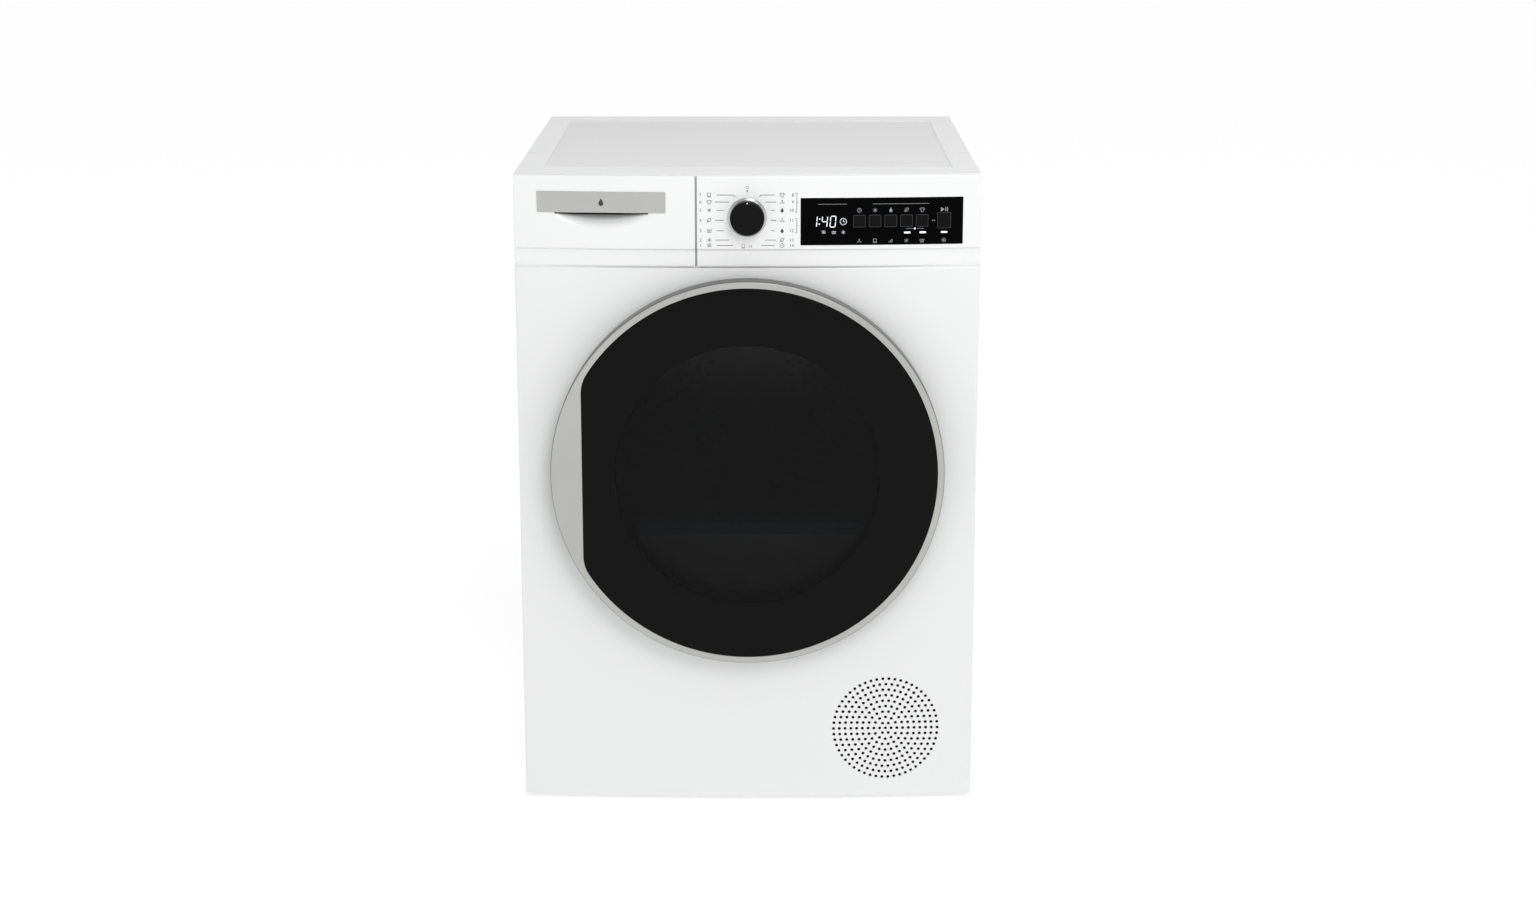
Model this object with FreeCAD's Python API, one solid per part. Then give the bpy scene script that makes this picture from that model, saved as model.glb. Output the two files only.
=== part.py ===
"""A front-loading heat-pump clothes dryer, as an assembly of separate named parts.

Millimetres. +X is to the right seen from the front, +Y runs from the front to the back, +Z is up.
The origin is on the floor, under the middle of the machine. Each node is written to parts/NODE.step.
"""
import math
import os

import FreeCAD
import Part

# ---------------------------------------------------------------- driving dimensions
WIDTH = 598.0
HEIGHT = 850.0
HALF = WIDTH / 2
FRONT = -277.0            # plane of the cabinet's front corners
BACK = 318.0              # outer face of the rear panel
BACKMOST = 323.0          # outer face of the rear duct cover
SHEET = 1.2               # painted steel sheet
GAP = 0.4                 # gap between neighbouring covers

PANEL_BOW = 10.0          # how far the front panel bulges forward in its middle
FASCIA_BOW = 16.0         # the same for the control fascia and the tank front
BASE_Z = 8.0              # underside of the cabinet
PANEL_TOP = 729.5         # top edge of the front panel
FASCIA_Z = 731.5          # bottom edge of the fascia
CREASE_Z = 753.0          # crease between the fascia's face and its lower band
FASCIA_TOP = 849.0
FASCIA_WALL = 3.0
BAND_SETBACK = 3.0        # how far the lower band falls back at its bottom edge
SEAM_X = -65.4            # middle of the seam between tank front and fascia
SEAM_GAP = 2.4

WORKTOP_Z = 830.0         # underside of the worktop
SIDE_TRIM = 33.0          # width of the worktop's side trims
FRONT_TRIM = 60.0
REAR_TRIM = 50.0
TRIM_JOINT = 195.0        # distance of the joint in the side trims from the front
INSET_DROP = 1.4          # how far the worktop panel lies below its frame

PORT_Z = 462.0            # centre of the door and of the loading port
DRUM_Z = 460.0            # drum axis
DOOR_R = 255.0
GLASS_R = 246.3           # hole of the silver ring, which the glass fills
FLAT_X = -214.0           # straight left edge of the glass
FLAT_CORNER = 48.0        # radius that rounds the two ends of that edge
DOOR_BACK = -292.0
DOOR_FACE = -318.0        # front plane of the silver ring
GLASS_CROWN = 5.0         # how far the glass domes in front of the ring
GLASS_THICK = 5.0
PORT_R = 188.0            # inside of the loading port's tunnel
PANEL_PORT_R = 195.0      # opening of the front panel
PLUG_R = 182.0            # outside of the door's inner ring, which enters the port
PLUG_END = -250.0

HINGE_X, HINGE_Y = 241.0, -304.0
HINGE_HALF = 30.0         # half the hinge's height
LUG = 8.0                 # height of each hinge lug
PIN_R = 4.0
RUNNING = 0.05            # radial clearance of a running fit

DRUM_R = 275.0
DRUM_WALL = 1.2
DRUM_FRONT, DRUM_REAR = -186.0, 250.0
LIP_R = 245.0             # inner radius of the drum's front lip
SHAFT_R = 10.0
ROLLER_R = 22.0
ROLLER_ANGLE = 38.0       # position of the support rollers, from straight down
ROLLER_Y = (-181.0, -163.0)

MOTOR_X, MOTOR_Z = 130.0, 115.0
PULLEY_R = 9.5
BELT_Y = (-93.0, -81.0)
BELT_THICK = 2.0
IMPELLER_R = 70.0

KNOB_Z = 796.0
KNOB_R = 22.2
SKIRT_R = 25.2
KNOB_OUT = 17.0           # how far the knob stands out of the fascia

WINDOW_X = (68.0, 276.0)
WINDOW_Z = (759.5, 820.5)
WINDOW_THICK = 2.4
BUTTON_X0, BUTTON_PITCH, BUTTON_SIZE = 143.0, 20.1, 16.6
BUTTON_Z = 790.4
START_X, START_SIZE = 251.6, (18.4, 21.4)
BUTTON_GAP = 0.35
BUTTON_DEPTH = 7.0

PLATE_X = (-269.0, -104.0)  # silver plate of the tank handle
PLATE_Z = (800.7, 828.0)
SCOOP_X = sum(PLATE_X) / 2
TANK_X = (-286.0, -82.0)
TANK_Y = (-262.0, 234.0)
TANK_Z = (748.0, 822.0)

VENT_X, VENT_Z = 183.4, 104.0
VENT_RINGS = 9
VENT_PITCH = 7.7
VENT_HOLE_R = 2.1
VENT_R = 75.0

FILTER_X = 157.0
FILTER_Y = (-241.5, -198.5)
FILTER_Z = (232.0, 377.0)
HOUSING_X = 165.0
HOUSING_Y = (-246.0, -194.0)
HOUSING_Z = (225.0, 363.0)

FOOT_X, FOOT_Y = 255.0, 231.0
FOOT_R = 20.0
STEM_R = 5.0

V = FreeCAD.Vector
X_AXIS, Y_AXIS, Z_AXIS = V(1, 0, 0), V(0, 1, 0), V(0, 0, 1)


# ---------------------------------------------------------------- shape helpers
def box(x, y, z):
    """A block from three (low, high) pairs."""
    return Part.makeBox(x[1] - x[0], y[1] - y[0], z[1] - z[0], V(x[0], y[0], z[0]))


def rod_y(x, z, radius, y):
    """A cylinder along Y from y[0] to y[1]."""
    return Part.makeCylinder(radius, y[1] - y[0], V(x, y[0], z), Y_AXIS)


def rod_z(x, y, radius, z):
    """A cylinder along Z from z[0] to z[1]."""
    return Part.makeCylinder(radius, z[1] - z[0], V(x, y, z[0]), Z_AXIS)


def ring_y(x, z, outer, inner, y):
    """A ring around a line along Y."""
    return rod_y(x, z, outer, y).cut(rod_y(x, z, inner, (y[0] - 1, y[1] + 1)))


def face_of(points):
    """A flat face with straight edges through the points."""
    return Part.Face(Part.makePolygon([V(*p) for p in points] + [V(*points[0])]))


def lathe_y(profile, x=0.0, z=PORT_Z):
    """Turns (radius, y) points about a line along Y."""
    face = face_of([(x + r, y, z) for r, y in profile])
    return face.revolve(V(x, 0, z), Y_AXIS, 360)


def fuse(first, *others):
    return first.multiFuse(list(others)).removeSplitter()


def bow_radius(bow):
    return (HALF ** 2 + bow ** 2) / (2 * bow)


def bowed(profile, bow, x):
    """Sweeps (depth, z) points along the bow of the front. Depth is measured backwards from the apex."""
    radius = bow_radius(bow)
    axis = V(0, FRONT - bow + radius, 0)
    face = face_of([(0, FRONT - bow + depth, z) for depth, z in profile])
    turn = math.degrees(math.asin((HALF + 10) / radius))
    face.rotate(axis, Z_AXIS, -turn)
    solid = face.revolve(axis, Z_AXIS, 2 * turn)
    return solid.common(box(x, (FRONT - 60, FRONT + 120), (0, HEIGHT)))


def bow_y(x, bow):
    """Y of the bowed front surface at x."""
    radius = bow_radius(bow)
    return FRONT - bow + radius - math.sqrt(radius ** 2 - x ** 2)


def wire_path(points, radius):
    """Straight runs through the points, joined by tangent arcs of one radius."""
    edges = []
    last = V(*points[0])
    for before, here, after in zip(points, points[1:], points[2:]):
        corner = V(*here)
        back = (V(*before) - corner).normalize()
        ahead = (V(*after) - corner).normalize()
        half = back.getAngle(ahead) / 2
        reach = radius / math.tan(half)
        start, end = corner + back * reach, corner + ahead * reach
        middle = (back + ahead).normalize() * (radius / math.sin(half) - radius) + corner
        edges.append(Part.LineSegment(last, start).toShape())
        edges.append(Part.Arc(start, middle, end).toShape())
        last = end
    edges.append(Part.LineSegment(last, V(*points[-1])).toShape())
    return Part.Wire(edges)


def tube(points, radius, bend):
    """A solid round tube along straight runs and arcs."""
    path = wire_path(points, bend)
    start, ahead = V(*points[0]), V(*points[1])
    section = Part.Wire(Part.makeCircle(radius, start, ahead - start))
    return path.makePipeShell([section], True, False)


def group(*shapes):
    """Separate solids that share one node."""
    return Part.makeCompound([solid for shape in shapes for solid in shape.Solids])


# ---------------------------------------------------------------- casing
def base_tray():
    """Moulded basement that everything stands in, with a boss for each foot."""
    x, y = (-291.0, 291.0), (FRONT + 20, BACK - 13)
    tray = box(x, y, (BASE_Z, 58))
    wall = 4.0
    tray = tray.cut(box((x[0] + wall, x[1] - wall), (y[0] + wall, y[1] - wall), (BASE_Z + wall, 59)))
    bosses = [rod_z(sx * FOOT_X, sy * FOOT_Y, 11, (BASE_Z + 2, 44)) for sx in (-1, 1) for sy in (-1, 1)]
    walls = [box((-34, -31), (y[0] + 2, y[1] - 2), (BASE_Z + 2, 46)),
             box((-290, -32), (204, 207), (BASE_Z + 2, 50)),
             box((-33, 290), (80, 83), (BASE_Z + 2, 40))]
    tray = fuse(tray, *bosses, *walls)
    bores = [rod_z(sx * FOOT_X, sy * FOOT_Y, STEM_R + 0.35, (0, 50)) for sx in (-1, 1) for sy in (-1, 1)]
    fan = rod_y(MOTOR_X, MOTOR_Z, 82.5, (250, BACK))
    return tray.cut([*bores, fan])


def side_panel(side):
    """Steel side wall with a folded edge at the front and the back."""
    z = (BASE_Z, WORKTOP_Z - GAP)
    wall = box((HALF - SHEET, HALF), (FRONT + 4, BACK), z)
    # the front edge stops below the fascia, so that the water tank can slide past it
    front = box((HALF - 16, HALF - SHEET / 2), (FRONT + 4, FRONT + 4 + SHEET), (BASE_Z, FASCIA_Z))
    back = box((HALF - 14, HALF - SHEET / 2), (BACK - 3.4, BACK - 2.2), z)
    panel = fuse(wall, front, back)
    tall = panel.Edges
    outer = [e for e in tall if e.BoundBox.ZLength > 700 and e.BoundBox.XMin > HALF - 0.01]
    panel = panel.makeFillet(1.0, outer)
    return panel if side > 0 else panel.mirror(V(0, 0, 0), X_AXIS)


KEYHOLE_R = 205.0
LEG_X = (60.0, 200.0)
LEG_Z = 46.0


def keyhole(grow, y):
    """Outline of the rear air duct: a disc behind the drum with a leg down to the fan."""
    disc = rod_y(0, DRUM_Z, KEYHOLE_R + grow, y)
    leg = box((LEG_X[0] - grow, LEG_X[1] + grow), y, (LEG_Z - grow, DRUM_Z - 100 + grow))
    return fuse(disc, leg)


SPIGOT_X, SPIGOT_Z = -245.0, 780.0
INLET_X, INLET_Z = 245.0, 780.0
POCKET = 22.0             # half the side of the square windows for spigot and inlet


def rear_panel():
    """Steel rear wall with the duct opening and two small windows."""
    plate = box((-HALF + 14.4, HALF - 14.4), (BACK - SHEET, BACK), (BASE_Z + 2, WORKTOP_Z - GAP))
    windows = [box((x - POCKET, x + POCKET), (BACK - 5, BACK + 5), (z - POCKET, z + POCKET))
               for x, z in ((SPIGOT_X, SPIGOT_Z), (INLET_X, INLET_Z))]
    slots = [box((x - 3, x + 3), (BACK - 5, BACK + 5), (690, 720)) for x in range(-235, -120, 14)]
    slots += [box((x - 3, x + 3), (BACK - 5, BACK + 5), (70, 110)) for x in range(-255, -120, 14)]
    plate = plate.cut([keyhole(-14, (BACK - 5, BACK + 5)), *windows, *slots])
    # a folded flange stiffens the top and the bottom edge
    flanges = [box((-HALF + 18, HALF - 18), (BACK - 12, BACK - SHEET / 2), z)
               for z in ((BASE_Z + 2, BASE_Z + 2 + SHEET), (WORKTOP_Z - GAP - SHEET, WORKTOP_Z - GAP))]
    screws = [rod_y(x, z, 1.8, (BACK - 5, BACK + 5)) for x, z in REAR_SCREWS + COVER_SCREWS]
    return fuse(plate, *flanges).cut(screws)


REAR_SCREWS = [(sx * (HALF - 24), z) for sx in (-1, 1) for z in (60, 250, 440, 630, 815)]
COVER_SCREWS = [(math.sin(a) * (KEYHOLE_R - 5), DRUM_Z + math.cos(a) * (KEYHOLE_R - 5))
                for a in (math.radians(t) for t in (-120, -72, -24, 24, 72, 115))]
COVER_SCREWS += [(LEG_X[0] + 5, 120), (LEG_X[1] - 5, 120)]


def rear_duct_cover():
    """Pressed cover over the rear air duct, raised in steps."""
    flange = keyhole(0, (BACK, BACK + SHEET))
    raised = keyhole(-16, (BACK, BACKMOST)).cut(keyhole(-16 - SHEET, (BACK - 1, BACKMOST - SHEET)))
    rings = [ring_y(0, DRUM_Z, r + 6, r, (BACKMOST - SHEET - 1, BACKMOST - 0.6)) for r in (60, 110, 150)]
    cover = fuse(flange.cut(keyhole(-16 - SHEET, (BACK - 1, BACK + 2))), raised)
    cover = cover.cut([ring_y(0, DRUM_Z, r + 5, r + 1, (BACKMOST - 0.5, BACKMOST + 1)) for r in (60, 110, 150)])
    holes = [rod_y(x, z, 1.8, (BACK - 5, BACKMOST + 5)) for x, z in COVER_SCREWS]
    return fuse(cover, *rings).cut(holes)


def front_panel():
    """Bowed steel front with the loading port, a round seat for the vent and a slot for the latch."""
    depth = 19.0
    skin = bowed([(0, BASE_Z), (SHEET, BASE_Z), (SHEET, PANEL_TOP), (0, PANEL_TOP)], PANEL_BOW, (-HALF, HALF))
    edges = [box((s * HALF - (SHEET if s > 0 else 0), s * HALF + (0 if s > 0 else SHEET)),
                 (FRONT + 0.1, FRONT + 3.8), (BASE_Z, PANEL_TOP)) for s in (-1, 1)]
    returns = [bowed([(SHEET / 2, z), (depth, z), (depth, z + SHEET), (SHEET / 2, z + SHEET)],
                     PANEL_BOW, (-HALF + 18, HALF - 18)) for z in (BASE_Z, PANEL_TOP - SHEET)]
    y = (FRONT - 40, FRONT + 40)
    cuts = [rod_y(0, PORT_Z, PANEL_PORT_R, y), rod_y(VENT_X, VENT_Z, VENT_R, y),
            box((-214, -197), y, (PORT_Z - 13, PORT_Z + 13))]
    lip = rod_y(0, PORT_Z, PANEL_PORT_R + SHEET, (FRONT - 20, -274)).cut(rod_y(0, PORT_Z, PANEL_PORT_R, y))
    lip = lip.common(bowed([(SHEET / 2, 0), (60, 0), (60, 800), (SHEET / 2, 800)], PANEL_BOW, (-HALF, HALF)))
    holes = [rod_y(x, z, 2.1, y) for x, z in HINGE_SCREWS]
    return fuse(skin, *edges, *returns).cut(cuts).fuse(lip).removeSplitter().cut(holes)


def vent_grille():
    """Round field of the front with its rings of air holes: ring n has 6 n holes."""
    disc = bowed([(0, 0), (SHEET, 0), (SHEET, 300), (0, 300)], PANEL_BOW, (0, HALF))
    y = (FRONT - 40, FRONT + 40)
    disc = disc.common(rod_y(VENT_X, VENT_Z, VENT_R, y))
    holes = [rod_y(VENT_X, VENT_Z, VENT_HOLE_R, y)]
    for ring in range(1, VENT_RINGS + 1):
        for n in range(6 * ring):
            a = 2 * math.pi * n / (6 * ring)
            r = ring * VENT_PITCH
            holes.append(rod_y(VENT_X + r * math.cos(a), VENT_Z + r * math.sin(a), VENT_HOLE_R, y))
    return disc.cut(Part.makeCompound(holes))


def worktop_frame():
    """Moulded frame of the worktop: a front and a rear half that meet in the side trims."""
    z = (WORKTOP_Z, HEIGHT)
    back_of_fascia = FASCIA_WALL + 1.0
    solid = bowed([(back_of_fascia, z[0]), (700, z[0]), (700, z[1]), (back_of_fascia, z[1])],
                  FASCIA_BOW, (-HALF, HALF))
    body = box((-HALF, HALF), (FRONT - 30, BACK), z)
    front_cut = bowed([(-60, 0), (back_of_fascia, 0), (back_of_fascia, 900), (-60, 900)],
                      FASCIA_BOW, (-HALF - 5, HALF + 5))
    del solid
    body = body.cut(front_cut)
    inner = (-HALF + SIDE_TRIM, HALF - SIDE_TRIM)
    body = body.cut(box(inner, (FRONT + FRONT_TRIM, BACK - REAR_TRIM), (z[0] - 1, z[1] + 1)))
    # hollow underneath, walls of 3 mm, with a ledge that carries the panel
    hollow = box((-HALF + 3, HALF - 3), (FRONT + 4, BACK - 3), (z[0] - 1, z[1] - 3.4))
    keep = box((inner[0] - 3, inner[1] + 3), (FRONT + FRONT_TRIM - 3, BACK - REAR_TRIM + 3), z)
    body = body.cut(hollow.cut(keep))
    ledge_z = HEIGHT - INSET_DROP - 16.0
    ledge = box(inner, (FRONT + FRONT_TRIM, BACK - REAR_TRIM), (ledge_z - 3, ledge_z))
    window = box((inner[0] + 10, inner[1] - 10), (FRONT + FRONT_TRIM + 10, BACK - REAR_TRIM - 10), (0, 900))
    body = fuse(body, ledge.cut(window))
    rim = [e for e in body.Edges if e.BoundBox.ZMin > HEIGHT - 0.01 and e.BoundBox.YMax > FRONT + 30
           and (abs(e.BoundBox.XMin) > HALF - 0.1 or e.BoundBox.YMin > BACK - 0.1)]
    body = body.makeFillet(2.0, rim)
    joint = box((-HALF - 1, HALF + 1), (FRONT + TRIM_JOINT, FRONT + TRIM_JOINT + 0.6), (z[0] - 1, z[1] + 1))
    return group(body.cut(joint))


def worktop_panel():
    """Laminated board that fills the worktop's frame."""
    inner = (-HALF + SIDE_TRIM + GAP, HALF - SIDE_TRIM - GAP)
    y = (FRONT + FRONT_TRIM + GAP, BACK - REAR_TRIM - GAP)
    board = box(inner, y, (HEIGHT - INSET_DROP - 16.0, HEIGHT - INSET_DROP))
    return board.makeFillet(0.8, [e for e in board.Edges if e.BoundBox.ZMin > HEIGHT - INSET_DROP - 0.01])


# ---------------------------------------------------------------- fascia and controls
def fascia_profile():
    """Section of the fascia: a rounded top edge, an upright face, a crease and a band that falls back."""
    t, s = FASCIA_WALL, BAND_SETBACK
    return [(2.2, FASCIA_TOP), (0.7, FASCIA_TOP - 0.7), (0, FASCIA_TOP - 2.2), (0, CREASE_Z + 0.6),
            (0.9, CREASE_Z - 0.6), (s, FASCIA_Z + 0.8), (s + 0.8, FASCIA_Z), (s + t, FASCIA_Z),
            (t, CREASE_Z), (t, FASCIA_TOP)]


def button_spots():
    """(x, z, width, height) of the five function buttons and the start button."""
    spots = [(BUTTON_X0 + n * BUTTON_PITCH, BUTTON_Z, BUTTON_SIZE, BUTTON_SIZE) for n in range(5)]
    return spots + [(START_X, BUTTON_Z, *START_SIZE)]


def button_block(spot, grow, y):
    x, z, w, h = spot
    return box((x - w / 2 - grow, x + w / 2 + grow), y, (z - h / 2 - grow, z + h / 2 + grow))


def control_fascia():
    """Right part of the fascia, with the seat of the display and the bore of the knob."""
    shell = bowed(fascia_profile(), FASCIA_BOW, (SEAM_X + SEAM_GAP / 2, HALF))
    ends = [bowed([(1.5, FASCIA_Z + 3.4), (FASCIA_BOW + 8, FASCIA_Z + 3.4), (FASCIA_BOW + 8, WORKTOP_Z - 1),
                   (1.5, WORKTOP_Z - 1)], FASCIA_BOW, x)
            for x in ((SEAM_X + SEAM_GAP / 2, SEAM_X + SEAM_GAP / 2 + 2.5), (HALF - 20, HALF - 17.5))]
    y = (FRONT - 40, FRONT + 40)
    side = box((HALF - 16.6, HALF + 1), (FRONT + 3.6, FRONT + 60), (0, WORKTOP_Z))
    seat_face = bowed([(-5, 0), (WINDOW_THICK + 0.02, 0), (WINDOW_THICK + 0.02, 900), (-5, 900)],
                      FASCIA_BOW, (0, HALF))
    seat = box(WINDOW_X, y, WINDOW_Z).common(seat_face)
    window = box((WINDOW_X[0] + 3, WINDOW_X[1] - 3), y, (WINDOW_Z[0] + 3, WINDOW_Z[1] - 3))
    return fuse(shell, *ends).cut([seat, window, side, rod_y(0, KNOB_Z, 8.5, y)])


def display_window():
    """Black window of the display, with an opening for each button."""
    slab = bowed([(0, WINDOW_Z[0] + 0.15), (WINDOW_THICK, WINDOW_Z[0] + 0.15),
                  (WINDOW_THICK, WINDOW_Z[1] - 0.15), (0, WINDOW_Z[1] - 0.15)],
                 FASCIA_BOW, (WINDOW_X[0] + 0.15, WINDOW_X[1] - 0.15))
    y = (FRONT - 40, FRONT + 40)
    return slab.cut([button_block(s, BUTTON_GAP, y) for s in button_spots()])


def button(spot):
    """Push button that stands level with the window, with a guide skirt behind it."""
    y = (FRONT - 40, FRONT + 40)
    front = bowed([(-0.3, 0), (BUTTON_DEPTH, 0), (BUTTON_DEPTH, 900), (-0.3, 900)], FASCIA_BOW, (0, HALF))
    cap = front.common(button_block(spot, 0, y))
    edges = [e for e in cap.Edges if e.BoundBox.YMax < bow_y(spot[0], FASCIA_BOW) + 1.5]
    return cap.makeFillet(0.5, edges)


def control_board():
    """Circuit board with its carrier, the knob's encoder, the display block and the switches."""
    y0 = -262.0
    board = box((-40, 276), (y0, y0 + 1.6), (750, 824))
    carrier = box((-44, 277.5), (y0 + 4, y0 + 6), (748, 826))
    posts = [rod_y(x, z, 3, (y0 + 1.6, y0 + 4)) for x in (-34, 110, 270) for z in (758, 817)]
    encoder = box((-9, 9), (-276, y0), (KNOB_Z - 9, KNOB_Z + 9)).cut(rod_y(0, KNOB_Z, 3.4, (-280, -263)))
    display = box((74, 128), (-280, y0), (770, 808))
    switches = [box((x - 3, x + 3), (bow_y(x, FASCIA_BOW) + BUTTON_DEPTH + 1.7, y0), (z - 3, z + 3))
                for x, z, _, _ in button_spots()]
    return fuse(board, carrier, *posts, encoder, display, *switches)


def program_knob():
    """Knob: a domed cap, and the skirt with a pointer mark that carries its shaft."""
    face = FRONT - FASCIA_BOW
    tip = face - KNOB_OUT
    cap = lathe_y([(0, tip), (12, tip + 0.4), (18, tip + 1.6), (KNOB_R - 0.9, tip + 3.4), (KNOB_R, tip + 5.6),
                   (KNOB_R, face - 4.6), (0, face - 4.6)], 0, KNOB_Z)
    skirt = lathe_y([(0, face - 4.6), (KNOB_R + 0.2, face - 4.6), (SKIRT_R - 0.4, face - 3.0),
                     (SKIRT_R, face - 2.4), (SKIRT_R, face - 0.5), (3, face - 0.5), (3, -266), (0, -266)], 0, KNOB_Z)
    mark = box((-0.6, 0.6), (face - 6, face - 2.6), (KNOB_Z + KNOB_R + 0.4, KNOB_Z + SKIRT_R - 0.5))
    return group(cap, skirt.cut(mark))


# ---------------------------------------------------------------- water tank
def tank_front():
    """Drawer front of the water tank, with a finger scoop below the silver plate."""
    x = (-HALF, SEAM_X - SEAM_GAP / 2)
    shell = bowed(fascia_profile(), FASCIA_BOW, x)
    ends = [bowed([(1.5, FASCIA_Z + 3.4), (FASCIA_BOW + 8, FASCIA_Z + 3.4), (FASCIA_BOW + 8, WORKTOP_Z - 1),
                   (1.5, WORKTOP_Z - 1)], FASCIA_BOW, e) for e in ((x[0] + 17.5, x[0] + 20), (x[1] - 2.5, x[1]))]
    cup_y = -262.0
    behind = [box((-HALF - 1, 0), (cup_y, FRONT + 60), (0, HEIGHT)),
              box((-HALF - 1, -HALF + 16.6), (FRONT + 3.6, FRONT + 60), (0, WORKTOP_Z))]
    cup = bowed([(1, 775), (60, 775), (60, 829.2), (1, 829.2)], FASCIA_BOW, (PLATE_X[0] + 10, PLATE_X[1] - 10))
    cup = cup.common(box((-HALF, 0), (FRONT - 40, cup_y), (0, HEIGHT)))
    face_y = bow_y(SCOOP_X, FASCIA_BOW)
    out, sag, half_width = 45.0, 17.5, 66.0
    round_r = (half_width ** 2 + sag ** 2) / (2 * sag)
    ball = Part.makeSphere(math.hypot(round_r, out), V(SCOOP_X, face_y - out, PLATE_Z[0] - sag + round_r))
    scoop = ball.common(box((PLATE_X[0] + 13, PLATE_X[1] - 13), (FRONT - 60, cup_y - 3), (700, PLATE_Z[0] + 0.5)))
    hollow = box((PLATE_X[0] + 13, PLATE_X[1] - 13), (FRONT - 60, cup_y - 3), (PLATE_Z[0], PLATE_Z[1] - 2))
    seat_face = bowed([(-5, 0), (1.2, 0), (1.2, 900), (-5, 900)], FASCIA_BOW, (-HALF, 0))
    seat = box(PLATE_X, (FRONT - 60, FRONT), PLATE_Z).common(seat_face)
    return fuse(shell, *ends, cup).cut([scoop, hollow, seat, *behind])


def tank_handle_plate():
    """Brushed silver plate that the fingers reach behind."""
    slab = bowed([(-0.6, PLATE_Z[0] + 0.1), (1.2, PLATE_Z[0] + 0.1), (1.2, PLATE_Z[1] - 0.1), (-0.6, PLATE_Z[1] - 0.1)],
                 FASCIA_BOW, (PLATE_X[0] + 0.1, PLATE_X[1] - 0.1))
    return slab


def tank_body():
    """Closed container for the condensed water, with an inlet at the back and a pouring spout."""
    wall = 2.5
    shell = box(TANK_X, TANK_Y, TANK_Z)
    upright = [e for e in shell.Edges if e.BoundBox.ZLength > 50]
    shell = shell.makeFillet(12, upright)
    hollow = box((TANK_X[0] + wall, TANK_X[1] - wall), (TANK_Y[0] + wall, TANK_Y[1] - wall),
                 (TANK_Z[0] + wall, TANK_Z[1] - wall))
    inlet = rod_z(-180, 200, 9, (TANK_Z[1] - 5, TANK_Z[1] + 5))
    spout = rod_z(-120, -225, 14, (TANK_Z[1] - 1, TANK_Z[1] + 5))
    pour = rod_z(-120, -225, 11, (TANK_Z[1] - 5, TANK_Z[1] + 9))
    ribs = [box((x, x + 3), (-200, 180), (TANK_Z[1] - 0.5, TANK_Z[1] + 1.5)) for x in (-260, -220, -180, -140)]
    return fuse(shell.cut(hollow), spout, *ribs).cut([inlet, pour])


def tank_housing():
    """Guide channel that the tank slides in."""
    x, z = (-292.0, -76.0), (744.0, 828.5)
    outer = box(x, (-258, 241), z)
    inner = box((x[0] + 3, x[1] - 3), (-260, 238), (z[0] + 3, z[1] + 1))
    return outer.cut(inner)


# ---------------------------------------------------------------- loading port and filter
def front_bulkhead():
    """Plastic front shield: the port's tunnel, the drum's front seat, and two pins for the rollers."""
    plate = box((-285, 285), (-262, -258), (197, 728)).cut(rod_y(0, DRUM_Z, 237, (-270, -250)))
    seat = ring_y(0, DRUM_Z, 240, 237, (-262, -170))
    tunnel = rod_y(0, PORT_Z, PORT_R + 4, (-272, -190)).cut(rod_y(0, PORT_Z, PORT_R, (-280, -180)))
    bridge = rod_y(0, DRUM_Z, 238.5, (-193, -190)).cut(rod_y(0, PORT_Z, PORT_R, (-200, -180)))
    shield = fuse(plate, seat, tunnel, bridge)
    shield = shield.cut(box((-HOUSING_X, HOUSING_X), HOUSING_Y, (150, HOUSING_Z[1])))
    pins = [rod_y(x, z, PIN_R, (-258, ROLLER_Y[1] + 4)) for x, z in roller_spots()]
    collars = [rod_y(x, z, 8, (-258, ROLLER_Y[0] - 1)) for x, z in roller_spots()]
    shield = fuse(shield, *collars)
    pin_holes = [rod_y(x, z, PIN_R, (-258, -100)) for x, z in roller_spots()]
    return group(shield.cut(pin_holes), *pins)


def roller_spots():
    reach = DRUM_R + ROLLER_R + 0.3
    a = math.radians(ROLLER_ANGLE)
    return [(s * reach * math.sin(a), DRUM_Z - reach * math.cos(a)) for s in (-1, 1)]


def roller(spot):
    """Drum support roller with a rounded tread."""
    x, z = spot
    y0, y1 = ROLLER_Y
    r, bore = ROLLER_R, PIN_R + RUNNING
    profile = [(bore, y0), (r - 5, y0), (r - 5, y0 + 1), (r - 1, y0 + 2), (r, y0 + 4), (r, y1 - 4),
               (r - 1, y1 - 2), (r - 5, y1 - 1), (r - 5, y1), (bore, y1)]
    return lathe_y(profile, x, z)


def filter_housing():
    """Well that the lint filter stands in, with a chute down to the heat exchangers."""
    wall = 3.0
    y = HOUSING_Y
    well = box((-HOUSING_X, HOUSING_X), y, HOUSING_Z)
    chute = box((-HOUSING_X, -45), y, (62, HOUSING_Z[0] + 1))
    inside = box((-HOUSING_X + wall, HOUSING_X - wall), (y[0] + wall, y[1] - wall), (HOUSING_Z[0] + wall, 400))
    flue = box((-HOUSING_X + wall, -45 - wall), (y[0] + wall, y[1] - wall), (62 + wall, HOUSING_Z[0] + 10))
    mouth = box((-HOUSING_X + wall, -45 - wall), (y[1] - wall - 1, y[1] + 1), (62 + wall, 160))
    return fuse(well, chute).cut([inside, flue, mouth])


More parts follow.
